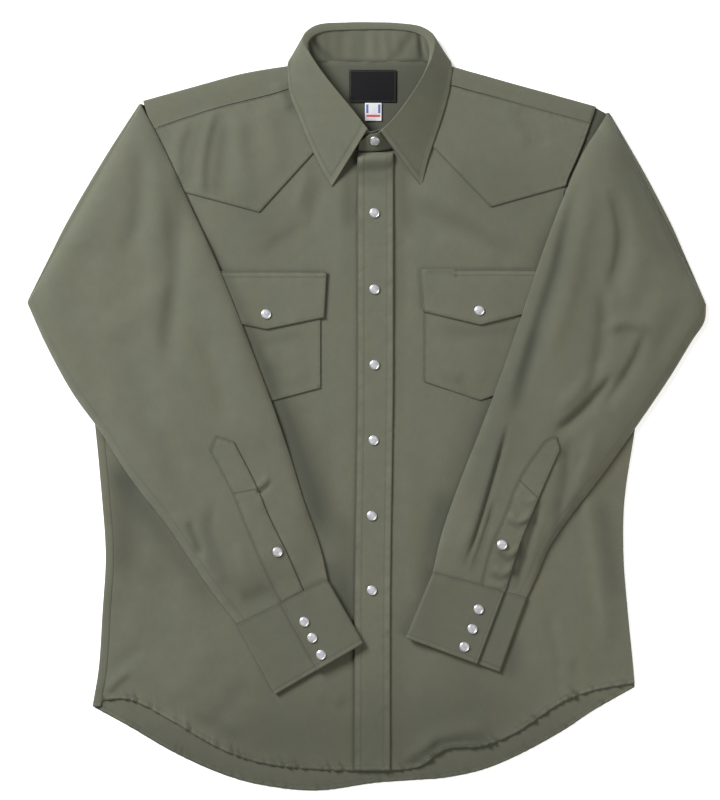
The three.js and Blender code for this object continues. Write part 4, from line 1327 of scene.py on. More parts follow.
        def bottom(u: Array) -> Array:
            """The hem."""
            x = mix(corner_x, float(centre_x(BAND_BOTTOM)), u)
            return points(x, front_hem(x))

        def top(u: Array) -> Array:
            """The shoulder seam."""
            a, b = outer(1.0), inner(1.0)
            x = mix(a[0], b[0], u)
            return points(x, mix(a[1], shoulder_seam(x), ease(0, 0.1, u)) - SEAM_GAP)

        lapped = (1.5, 8, 15, 20, 23, 24, 24.7, 25.3, 26, 26.8, 27.6, 28.4, 29.2, 30.5, 33)
        u = shares(300, 2.6, (0.5, 1.5, 3, 6), lapped if side is Side.RIGHT else (1.5, 4, 7, 10, 14, 18, 22))
        low = shares(420, self.pitch, fine(self.hem_inset)) * armpit
        v = np.concatenate([low, np.linspace(armpit, neck_at, 36)[1:], np.linspace(neck_at, 1, 22)[1:]])
        plan = between(bottom, top, outer, inner, u, v)
        hem_line = bottom(np.linspace(0, 1, 120))
        if side is Side.LEFT:
            hem_line = hem_line[::-1]
            plan = plan[:, ::-1]
        hem = Seam(hem_line, (self.hem_inset,), 12 if side is Side.RIGHT else 17,
                   ridge=0.6, pucker=1.5, pitch=9.5, reach=7.0)
        base = height_of(side)
        flipped = Line(FLIPPED_HEM)(np.linspace(0, 1, 20))

        def height(x: Array, y: Array) -> Array:
            """The front's height, with the hem's rolled lip and its flipped stretch."""
            away, along, _ = nearest(x, y, hem.line)
            lip = 1.3 * np.maximum(hem.waves(along + 0.8 * away) + 0.15, 0) * bell(away, 9)
            if side is Side.RIGHT:
                return base(x, y) + lip
            return base(x, y) + lip + 1.6 * bell(nearest(x, y, flipped)[0], 5)

        panel = Panel(plan, height, (hem,), (*FRONT_SHADES, LOW_SHADE, SLEEVE_SHADE))
        stitches = panel.stitch(Stitches(f"stitches_front_hem_{side.value}"), 6)
        made = panel.cloth()
        # Painted shadow line on the front along the band's edge
        beside_band = plan[..., 0] - band_edge(plan[..., 1], False)
        made.painted_shade = np.clip(made.painted_shade + 0.9 * bell(beside_band + 0.4, 0.8), 0, 1)
        shop.cloth(f"cloth_front_{side.value}", made, (0.36, 0.74), "laid", ["cloth_back_panel"],
                   f"front_{side.value}", stitches)

    def front_yoke(self, shop: Workshop, side: Side) -> None:
        """One pointed front yoke, laid on the front, with a double row along its lower edge."""
        armhole, point, neck_end = YOKE_POINT[side]
        neck_line = Line(NECK_FRONT[side])
        steps = np.linspace(0, 1, 401)
        neck_start = float(steps[np.argmax(neck_line(steps)[:, 1] > neck_end[1])])
        seam_y = float(shoulder_seam(body_edge(side, 314.0)))

        def outer(v: Array) -> Array:
            """Armhole."""
            y = mix(float(armhole[1]), seam_y, np.asarray(v, float))
            return points(body_edge(side, y), y)

        def inner(v: Array) -> Array:
            """Neck seam."""
            return neck_line(mix(neck_start, 1.0, np.asarray(v, float)))

        def lower(u: Array) -> Array:
            """Straight to the point, and straight on to the neck."""
            u = np.asarray(u, float)[..., None]
            first, last, middle = outer(0.0), inner(0.0), np.asarray(point, float)
            return np.where(u < 0.5, mix(first, middle, u * 2), mix(middle, last, u * 2 - 1))

        def upper(u: Array) -> Array:
            """Shoulder seam."""
            x = mix(outer(1.0)[0], inner(1.0)[0], np.asarray(u, float))
            return points(x, shoulder_seam(x) - SEAM_GAP)

        half = shares(100, 3.0, fine(3.2))
        u = np.concatenate([half * 0.5, 0.5 + (1 - half[::-1])[1:] * 0.5])
        u = np.unique(np.round(np.concatenate([u, 0.5 + np.array([-2, -1, 1, 2]) / 200]), 5))
        v = shares(90, 3.0, fine(1.6, 5.2), fine(1.6))
        plan = between(lower, upper, outer, inner, u, v)
        line = lower(np.linspace(0, 1, 41))
        arm_line = outer(np.linspace(1, 0, 30))
        top_line = upper(np.linspace(1, 0, 40))
        if side is Side.LEFT:
            plan = plan[:, ::-1]
            line, arm_line, top_line = line[::-1], arm_line[::-1], top_line[::-1]
        base = height_of(side)
        seed = 30 if side is Side.RIGHT else 40
        panel = Panel(plan, lambda x, y: base(x, y) + PITCH, (
            Seam(line, (1.6,), seed),
            Seam(top_line, (1.6,), seed + 1, ridge=0.3, pucker=0.2, reach=9.0),
            Seam(arm_line, (3.2,), seed + 2, ridge=0.3, pucker=0.25),
        ), FRONT_SHADES)
        stitches = panel.stitch(Stitches(f"stitches_front_yoke_{side.value}"))
        shop.cloth(f"cloth_front_yoke_{side.value}", panel.cloth(), (0.2, 0.16), "laid",
                   [f"cloth_front_{side.value}"], f"front_yoke_{side.value}", stitches)

    def back_yoke(self, shop: Workshop) -> None:
        """Back yoke: flat under the neck, and brought over the shoulders on both sides of it."""
        right = np.linspace(YOKE_END[Side.RIGHT], NECK_RIGHT_X, YOKE_COLUMNS)
        left = np.linspace(NECK_LEFT_X, YOKE_END[Side.LEFT], YOKE_COLUMNS)
        x = np.concatenate([right, INSIDE_NECK_X, left])
        back_neck = column(BACK_NECK, 1)

        def widen(at: Array, y: Array) -> Array:
            """x moved out so that the yoke's ends follow the armhole at each height."""
            wide = at
            for side, neck in ((Side.RIGHT, NECK_RIGHT_X), (Side.LEFT, NECK_LEFT_X)):
                share = np.clip((at - neck) / (YOKE_END[side] - neck), 0, 1)
                wide = wide + (body_edge(side, y) - YOKE_END[side]) * share
            return wide

        def low_height(at: Array, y: Array) -> Array:
            """Middle of the lower layer: on the surface, risen near the neck."""
            return BACK_Z + neck_rise(y) * (1 - ease(70, 84, np.abs(at - MIDDLE_X)))

        fold = shoulder_fold(x) - YOKE_TURN / 2
        start_x = widen(x, np.full_like(x, YOKE_BACK_SIDE))
        start = yoke_back_seam(start_x)
        inside_neck = (x > NECK_RIGHT_X) & (x < NECK_LEFT_X)
        neck_low = NECK_RISE_FROM - 10
        rows = []
        for share in np.arange(YOKE_FLAT_ROWS + 1) / YOKE_FLAT_ROWS:
            y = mix(start, np.where(inside_neck, neck_low, fold), share)
            rows.append(np.stack([mix(start_x, widen(x, y), share), y, low_height(x, y)], -1))
        angles = np.radians(np.linspace(-90, 90, 8)[1:])
        over = np.concatenate([[0.0], 1 - shares(36, 2.6, fine(1.6), (1.2, 2.4, 4))[::-1]])[1:]
        over = np.unique(np.round(over, 4))
        steps = len(angles) + len(over) - 1
        for k in range(steps):
            neck_y = mix(neck_low, back_neck(x), (k + 1) / steps)
            if k < len(angles):
                cosine, sine = math.cos(angles[k]), math.sin(angles[k])
                low = low_height(x, fold)
                y = fold + YOKE_TURN / 2 * cosine
                z = mix(low, TOP_Z, 0.5) + (TOP_Z - low) / 2 * sine + front_relief(x, y) * (0.5 + 0.5 * sine)
            else:
                way = over[k - len(angles) + 1]
                y = mix(fold, shoulder_seam(widen(x, shoulder_seam(x))) + 0.6, way)
                z = TOP_Z + front_relief(x, y) + 0.9 * np.sin(np.pi * np.clip(way, 0, 1)) * (1 - 0.5 * way)
            rows.append(np.stack([np.where(inside_neck, x, widen(x, y)), np.where(inside_neck, neck_y, y),
                                  np.where(inside_neck, low_height(x, neck_y), z)], -1))
        made = Cloth(np.array(rows), WALL)
        # Paler rows at the shoulder: wear together with painted highlight; painted shadow on the yoke inside
        # the neck, under the collar
        made.wear_and_highlight = np.zeros(made.middle.shape[:2])
        made.wear_and_highlight[-3:] = 0.6
        made.painted_shade = np.where(inside_neck[None], 0.72 * ease(250, 335, made.middle[..., 1]), 0.0)
        stitches = Stitches("stitches_back_yoke")
        outer_face = made.middle - made.normals() * WALL / 2
        third_row_in = 8.0
        for inset in self.yoke_insets:
            for columns in (slice(0, YOKE_COLUMNS), slice(len(x) - YOKE_COLUMNS, len(x))):
                share = inset / third_row_in
                line = resample(mix(outer_face[-1, columns], outer_face[-3, columns], share), 1.5)
                stitches.add(line, np.tile([0.0, 0.0, 1.0], (len(line), 1)))
        shop.cloth("cloth_back_yoke", made, (0.52, 0.24), "folded", ["cloth_back_panel"], "back_yoke",
                   stitches)


@dataclass
class FrontBand:
    """The band down the left front, with a row of stitches along each edge."""

    inset: float = 7.6

    def make(self, shop: Workshop) -> None:
        """Builds the band over the underlap, from the hem to the neck."""
        y = mix(BAND_BOTTOM, BAND_TOP, shares(696, 3.0, fine(5.0), (1, 2, 4)))
        across = shares(40, 2.0, fine(self.inset), fine(self.inset - 0.6))
        x = mix(band_edge(y, False)[:, None], band_edge(y, True)[:, None], across[None])
        plan = points(x, np.broadcast_to(y[:, None], x.shape))
        ys = np.linspace(BAND_BOTTOM, BAND_TOP, 100)
        right = points(band_edge(ys, False), ys)[::-1]
        left = points(band_edge(ys, True), ys)
        hem = np.linspace((BAND_RIGHT - BAND_TAPER, BAND_BOTTOM), (BAND_LEFT - BAND_TAPER, BAND_BOTTOM), 12)
        bulge = folds((((-18, 277), (6, 279.5), (35, 281)), 5.5, 5.0, -0.35),
                      (((-12, 266), (6, 265), (29, 267)), 3.5, -0.8))
        # Painted shade under the collar
        under_collar = folds((((-30, 268), (4, 269), (46, 272)), 7, 0.7),
                             (((-30, 256), (4, 256), (46, 258)), 9, 0.4))

        def height(at: Array, along: Array) -> Array:
            """Over the lapped fronts, with the fold under the collar."""
            lapped = left_front_height(np.minimum(at, UNDERLAP_X), along)
            return lapped + PITCH + relief(bulge, at, along)

        panel = Panel(plan, height, (
            Seam(right, (self.inset,), 51, groove=0.32, ridge=0.12, pucker=0.2, pitch=12.0),
            Seam(left, (self.inset - 0.6,), 52, groove=0.32, ridge=0.12, pucker=0.2, pitch=12.0),
            Seam(hem, (5.0,), 53, groove=0.25, ridge=0.3, pucker=0.3, pitch=8.0, reach=6.0),
        ), (LOW_SHADE, *under_collar))
        self.panel = panel
        stitches = panel.stitch(Stitches("stitches_front_band"))
        shop.cloth("cloth_front_band", panel.cloth(), (0.042, 0.7), "laid", ["cloth_front_left"], "placket",
                   stitches)


# A distance that no seam reaches, and the half width of the groove along a row of stitches
FAR = 99.0
GROOVE = 0.8

# Stations of the collar from the underlap round the neck to the overlap: the neck seam, the
# stand's top, the roll of the fall and its outer edge
COLLAR = (
    ((22, 290.5, 3.7), (20, 312, 20), None, None),
    ((4, 289.5, 3.7), (2, 309, 20), (1, 311, 22.5), (-39, 248, 5.2)),
    ((-19, 293.5, 3.7), (-15, 329, 20), (-14, 331, 22.5), (-50, 267, 5.2)),
    ((-44, 314, 3.7), (-34, 352, 19), (-33, 354, 22), (-65, 298, 5.2)),
    ((-63, 340, 3.7), (-51, 375, 18), (-51, 377, 21), (-76, 326, 5.2)),
    ((-72.5, 362, 4.0), (-64, 396, 16), (-65, 398, 19), (-86, 352, 5.2)),
    ((-69.5, 379, 3.6), (-67, 408, 13), (-72, 410, 15.5), (-88.5, 371, 5.2)),
    ((-63, 385.5, 3), (-62, 417, 10), (-69, 420, 12.5), (-87, 390, 4.6)),
    ((-47, 388.5, 2.2), (-49, 423.5, 7.6), (-56, 429.5, 9), (-72, 394, 1.4)),
    ((-18, 389, 2.0), (-19, 426, 6.2), (-21, 432.8, 6.3), (-30, 386, 0.56)),
    ((11, 388.5, 2.0), (8, 426.5, 6), (7, 433, 5.8), (8, 384, 0.56)),
    ((40, 389, 2.0), (34, 426, 6.4), (35, 432, 6.4), (44, 386, 0.56)),
    ((66, 388.5, 2.2), (57, 422, 8.6), (63, 427, 10), (82, 395, 1.4)),
    ((80, 382, 3), (70, 412, 13), (76, 416, 14.5), (95, 388, 4.6)),
    ((87.5, 362, 4.0), (71, 391, 18), (74, 394, 20.5), (94, 364, 5.2)),
    ((80, 336, 3.7), (62, 368, 20.5), (63, 370, 23.5), (90, 344, 5.2)),
    ((59, 312, 3.8), (46, 343, 21.5), (47, 344, 24.5), (80, 312, 5.2)),
    ((34, 293, 5.0), (29, 321, 22), (30, 322, 25), (68, 275, 5.2)),
    ((12, 288, 5.9), (14, 307, 22.5), (16, 308, 25), (62, 248, 5.2)),
    ((1, 287.7, 6.0), (3, 304.5, 19.5), None, None),
    ((-9, 288.7, 6.0), (-8, 297, 13), None, None),
)


# Folds down the inside of the stand: place along it at the bottom and at the top, width and depth
STAND_FOLDS = ((0.418, 0.35, 0.011, 2.6), (0.592, 0.604, 0.006, 2.4), (0.53, 0.59, 0.012, 1.2),
               (0.36, 0.33, 0.01, 1.8))


@dataclass
class Collar:
    """Collar stand and the fall with its two pointed leaves."""

    topstitch: float = 6.5
    end_inset: float = 7.5

    def stand(self) -> Cloth:
        """Stand from the neck seam to its upper edge, straight between the two lines.

        Soft upright folds run down its inside at the back, deepest at the two back corners.
        """
        neck, top = Line([row[0] for row in COLLAR]), Line([row[1] for row in COLLAR])
        t, w = np.linspace(0, 1, 190), shares(24, 1.6, (0.5, 1.2), (0.5, 1.2))
        low, high = neck(t)[None], top(t)[None]
        middle = mix(low, high, w[:, None, None])
        rng = np.random.default_rng(71)
        wave = sum(np.cos(2 * np.pi * t * k + rng.uniform(0, 6.28)) for k in (17, 23, 31, 41)) / 2.4
        at_back = ease(0.36, 0.44, t) * (1 - ease(0.6, 0.68, t))
        lift = 0.8 * wave * at_back * np.sin(np.pi * w[:, None]) ** 0.7
        deep = sum(depth * bell(t - mix(low_t, high_t, w[:, None]), width)
                   for low_t, high_t, width, depth in STAND_FOLDS)
        lift = lift - deep * np.sin(np.pi * np.clip(w[:, None], 0, 1)) ** 0.6
        made = Cloth(middle + Cloth(middle).normals() * lift[..., None], WALL)
        # Painted shade at the neck seam, down both sides of the stand's inside and in its deep folds
        seam = bell(w[:, None], 0.08)
        side = 0.3 * (1 - ease(0.43, 0.5, t)) + 0.2 * ease(0.52, 0.6, t)
        made.painted_shade = np.clip(seam + side + 0.42 * deep * ease(0, 0.2, w[:, None]), 0, 1)
        made.wear_and_highlight = np.zeros(made.middle.shape[:2])
        return made

    def fall(self) -> Cloth:
        """Fall from the stand over the roll and down to the outer edge.

        Height over the leaf falls from the roll to the edge with a power of what is left of the
        way, steeper behind the neck than over the fronts.
        """
        rows = [row for row in COLLAR if row[2]]
        roll, edge, top = (Line([row[k] for row in rows]) for k in (2, 3, 1))
        t = shares(560, 2.6, fine(self.topstitch), fine(self.topstitch))
        behind_roll = (-1, -0.85, -0.7, -0.55, -0.4, -0.25, -0.12)
        w = np.concatenate([behind_roll,
                            shares(85, 2.4, (0.8, 1.6, 2.6, 4), fine(self.topstitch))])
        start, end, seam = roll(t)[None], edge(t)[None], mix(top(t), roll(t), -0.22)[None]
        ww = w[:, None]
        power = mix(1.8, 1.1, ease(1, 4.5, end[..., 2]))
        down = np.clip(ww, 0, 1)
        leaf = mix(start, end, down[..., None])
        leaf[..., 2] = end[..., 2] + (start[..., 2] - end[..., 2]) * (1 - down) ** power
        back = mix(seam + np.array([0, 0, 1.3]), start, np.clip(1 + ww, 0, 1)[..., None])
        back[..., 2] += 0.5 * np.sin(np.pi * np.clip(1 + ww, 0, 1))
        middle = np.where((ww < 0)[..., None], back, leaf)
        far = np.linalg.norm(end - start, axis=-1)
        from_edge = (1 - down) * far
        run = run_along(edge(t))
        from_tip = np.minimum(run, run[-1] - run)[None] * 0.86
        near = np.minimum(from_edge, np.where(from_tip < 60, from_tip, FAR))
        near = np.where(ww < 0, FAR, near)
        groove = bell(near - self.topstitch, GROOVE)
        ridge = 1 - ease(self.topstitch - 0.5, self.topstitch + 1.6, near)
        rng = np.random.default_rng(72)
        wave = sum(np.cos(2 * np.pi * run / k + rng.uniform(0, 6.28)) for k in (9, 13, 21, 34))[None] / 3
        lift = 0.3 * ridge - 0.35 * groove + 0.16 * wave * np.exp(-near / 9)
        fullness = np.sin(np.pi * np.clip(run / run[-1], 0, 1) * 3)[None] ** 2
        lift = lift + 0.9 * np.sin(np.pi * down) ** 1.5 * fullness * 0.6
        normals = Cloth(middle).normals()
        sign = -1.0 if np.mean(normals[-10:, :20, 2]) < 0 else 1.0
        made = Cloth(middle + sign * normals * lift[..., None], COLLAR_WALL)
        # Painted shade in the thread groove and at the edge; paler near the edge: wear together with painted
        # highlight
        made.painted_shade = 0.5 * groove + 0.9 * bell(near, 0.55)
        made.wear_and_highlight = np.exp(-near / 3) * ease(0.2, 1.0, near)
        self.sign = sign
        self.near = near
        return made

    def make(self, shop: Workshop) -> None:
        """Builds both pieces and the topstitching round the leaves."""
        shop.cloth("cloth_collar_stand", self.stand(), (0.44, 0.04), "folded",
                   ["cloth_back_yoke", "cloth_front_right"], "collar_stand")
        fall = self.fall()
        stitches = Stitches("stitches_collar")
        normals = self.sign * fall.normals()
        face = fall.middle + normals * COLLAR_WALL / 2
        rows, columns = face.shape[:2]
        column = np.arange(columns, dtype=float)
        row = np.array([np.interp(-self.topstitch, -self.near[-40:, k], np.arange(rows - 40, rows))
                        for k in range(columns)])
        run = np.cumsum(np.linalg.norm(np.diff(fall.middle[-1], axis=0), axis=1))
        first = int(np.argmax(run > self.end_inset))
        keep = slice(first, columns - first)
        line, up = sample(face, row, column)[keep], sample(normals, row, column)[keep]
        stitches.add(line, up)
        below_roll = 12
        for at in (first, columns - 1 - first):
            down = slice(below_roll, int(row[at]))
            stitches.add(face[down, at], normals[down, at])
        shop.cloth("cloth_collar_fall", fall, (0.5, 0.11), "folded", ["cloth_collar_stand"], "collar_fall",
                   stitches)

    def snap_place(self) -> tuple[Array, Array]:
        """Place and normal of the top snap, on the stand's overlap."""
        neck, top = Line([row[0] for row in COLLAR]), Line([row[1] for row in COLLAR])
        share, step, rise = 18.35 / (len(COLLAR) - 1), 0.015, 0.62
        before, place, after = (mix(neck(s), top(s), rise) for s in (share - step, share, share + step))
        normal = np.cross(after - before, top(share) - neck(share))
        normal /= np.linalg.norm(normal) * (1 if normal[2] > 0 else -1)
        return place + normal * WALL / 2, normal


# Places of the overarm and underarm edge at even steps from the fold to the cuff
SLEEVE_LINES = {
    Side.RIGHT: (((-255, 342), (-383, 118)), ((-228, 290), (-362, 71)), ((-203, 236), (-332, 16)),
                 ((-171, 167), (-301, -27)), ((-141, 94), (-265, -82)), ((-107, 5), (-225, -133)),
                 ((-86, -56), (-201, -169)), ((-71, -105), (-178, -203)), ((-52, -160), (-156, -232)),
                 ((-44, -195), (-145, -246))),
    Side.LEFT: (((273, 332), (383, 116)), ((260, 311), (381, 96)), ((246, 289), (367, 74)),
                ((227, 247), (342, 33)), ((200, 177), (306, -20)), ((174, 99), (268, -73)),
                ((149, 27), (241, -108)), ((125, -36), (220, -136)), ((103, -92), (204, -161)),
                ((85, -144), (192, -190)), ((75, -187), (180, -216))),
}
SLEEVE_FOLDS = {
    Side.RIGHT: folds(
        (((-221, 251), (-215, 197), (-216, 137), (-223, 86), (-225, 34)), 12, -4.4, 0.2),
        (((-260, 303), (-255, 262), (-258, 208), (-272, 159)), 11, -2.6),
        (((-239, 290), (-236, 233), (-239, 166), (-245, 86)), 13, 2.0),
        (((-170, -101), (-175, -140), (-163, -180), (-145, -225)), 8, -4.4, -0.3),
        (((-189, -158), (-175, -192), (-159, -219), (-150, -234)), 6, 2.8),
        (((-201, -126), (-192, -149), (-185, -171)), 5, -3.2),
        (((-224, -117), (-208, -140), (-190, -167)), 6, 2.2),
        (((-143, -219), (-125, -215), (-107, -208)), 9, -2.6),
        (((-127, -93), (-118, -88), (-108, -77)), 3.5, 2.6),
        (((-125, -99), (-116, -94), (-106, -86)), 3, -2.0),
        (((-279, 290), (-303, 233), (-335, 163)), 20, 1.5),
        (((-306, 193), (-324, 132), (-319, 82)), 18, -2.2),
        (((-154, 80), (-132, 7), (-111, -54)), 11, 1.7),
        (((-185, 93), (-166, 19), (-154, -29)), 11, -2.6),
        (((-281, 91), (-256, 30), (-228, -31)), 15, -2.4),
        (((-303, 34), (-262, -27), (-220, -97)), 11, 2.0),
        (((-233, -11), (-211, -72), (-181, -133)), 13, -2.2),
        (((-120, -103), (-103, -140), (-84, -182)), 6, -1.7),
        (((-147, -151), (-136, -180), (-118, -207)), 7, 1.4),
    ),
    Side.LEFT: folds(
        (((284, 290), (302, 247), (325, 197), (350, 147)), 12, -2.6, -0.3),
        (((273, 249), (285, 205), (284, 171), (271, 127)), 8, -4.6, 0.3),
        (((241, 270), (225, 208), (214, 155), (197, 102), (181, 48), (171, 14), (161, -24)), 7.5, -4.4),
        (((219, 216), (202, 160), (182, 98), (160, 30), (140, -21)), 7, 1.6),
        (((255, 260), (244, 199), (232, 143), (214, 86), (199, 34)), 10, 2.2),
        (((265, 136), (266, 86), (260, 50), (244, 5)), 7.5, -3.8),
        (((264, 84), (283, 95), (302, 94), (320, 83)), 5.5, 3.6, -0.3),
        (((315, 89), (305, 62), (289, 32), (262, -8)), 6.5, -3.8, 0.3),
        (((280, 39), (259, 14), (237, -8), (207, -33)), 6.5, -5.4, 0.35),
        (((262, 46), (239, 19), (212, -6)), 8, 2.6),
        (((227, -36), (225, -83), (213, -137)), 6.5, -4.2, -0.3),
        (((259, -18), (246, -69), (224, -124)), 9, 2.4),
        (((161, -11), (145, -69), (125, -136), (105, -193)), 2.8, -3.6, 0.4),
        (((151, -22), (136, -77), (115, -140), (94, -190)), 6.5, 1.8),
        (((144, -101), (131, -145), (115, -194)), 2.6, -3.4, 0.4),
        (((336, 134), (320, 92), (293, 41)), 14, 2.2),
        (((366, 120), (345, 86), (318, 44)), 12, -1.8),
        (((198, -103), (186, -140), (176, -180), (168, -212)), 4.5, -4.2),
        (((215, -126), (203, -164), (182, -212)), 6, 3.0),
        (((171, -210), (187, -199), (197, -179)), 4, 2.2),
        (((310, 181), (298, 138), (291, 107)), 13, 2.0),
        (((244, -51), (234, -72), (230, -99)), 5, -1.6),
    ),
}
# Outer and inner edge of the sleeve bands, from the point to the cuff
SLEEVE_BANDS = {
    Side.RIGHT: (((-168.6, -33.4), (-167.6, -33.2)), ((-175.5, -49.5), (-149, -39.4)),
                 ((-151, -96), (-123, -91)), ((-135, -135), (-110, -123)), ((-119, -173), (-90, -164)),
                 ((-97, -220), (-71.5, -207))),
    Side.LEFT: (((212.4, -33.4), (211.4, -33.2)), ((217, -47.6), (200, -39.5)), ((194, -100), (174, -77.5)),
                ((184, -124), (156.5, -120)), ((172, -154), (141, -156)), ((155, -212), (128.5, -204))),
}
# Puckers and their shades on the bands; only the left one is tight
BAND_PUCKERS = {
    Side.RIGHT: (),
    Side.LEFT: folds((((158, -118), (171, -129), (186, -120)), 3.4, 2.6, 0.2),
                     (((146, -152), (160, -166), (173, -157)), 3.4, 2.6, 0.2),
                     (((140, -180), (153, -188), (167, -179)), 3.2, 2.2, 0.2),
                     (((135, -196), (146, -202), (160, -198)), 3.0, 1.4),
                     (((164, -94), (178, -106), (194, -103)), 4.0, 1.8)),
}
BAND_SHADES = {
    Side.RIGHT: (),
    Side.LEFT: folds((((155, -125), (170, -135), (187, -126)), 3, 0.6),
                     (((144, -159), (159, -172), (173, -163)), 3, 0.7),
                     (((138, -186), (152, -194), (166, -185)), 3, 0.6)),
}
# Painted shade in the sleeves' folds and gaps, in the fold tables' columns
SLEEVE_SHADES = {
    Side.RIGHT: folds(
        (((-214, 267), (-213, 177), (-221, 109), (-227, 30)), 7, 0.4),
        (((-260, 294), (-255, 245), (-265, 184)), 9, 0.25),
        (((-170, -106), (-172, -145), (-159, -185), (-143, -223)), 8, 0.4),
        (((-202, -126), (-192, -151), (-184, -171)), 4, 0.5),
        (((-143, -216), (-125, -212), (-102, -204)), 8, 0.4),
    ),
    Side.LEFT: folds(
        (((275, 320), (309, 248), (334, 198), (366, 130)), 22, 0.5),
        (((232, 256), (214, 194), (185, 120), (157, 53), (146, -27), (126, -94), (103, -173)), 25, 0.44),
        (((277, 245), (288, 205), (284, 163), (271, 123)), 6, 0.35),
        (((241, 267), (224, 208), (214, 155), (197, 102), (181, 48), (171, 14), (162, -27)), 7, 0.45),
        (((194, 95), (178, 41), (164, -15)), 9, 0.4),
        (((266, 125), (267, 81), (259, 44)), 6, 0.3),
        (((275, 82), (293, 89), (314, 83)), 5, 0.4),
        (((311, 82), (298, 53), (275, 19)), 6, 0.3),
        (((275, 38), (250, 7), (211, -31)), 6, 0.5),
        (((228, -33), (225, -89), (210, -142)), 6, 0.45),
        (((159, -11), (143, -72), (125, -136), (107, -193)), 3, 0.7),
        (((198, -101), (185, -145), (173, -185), (164, -216)), 6, 0.4),
        (((196, -96), (186, -119), (177, -142)), 2.4, 1.0),
        (((176, -147), (173, -163), (171, -178), (165, -196)), 3.4, 1.0),
        (((145, -101), (132, -151), (117, -194)), 3, 0.6),
    ),
}
# Air between a sleeve's layers, and the distances over which it grows from the fold, from the
# edges and from the cuff
PUFF = 8.5
AIR_FROM_FOLD, AIR_FROM_EDGE, AIR_FROM_CUFF = 15.0, 13.0, 62.0
# A sleeve's width at the fold, its length from there to the cuff, how far in the painted shade of
# the seam's groove lies, the columns of its upper and lower layer, and its rows under the fold and round the
# turn
FOLD_WIDTH, SLEEVE_RUN = 256.0, 570.0
SEAM_GROOVE = 9.5
TOP_COLUMNS, LOW_COLUMNS = 83, 33
UNDER_ROWS, TURN_ROWS = 14, 15
SHOULDER_TIP_X = 257.0


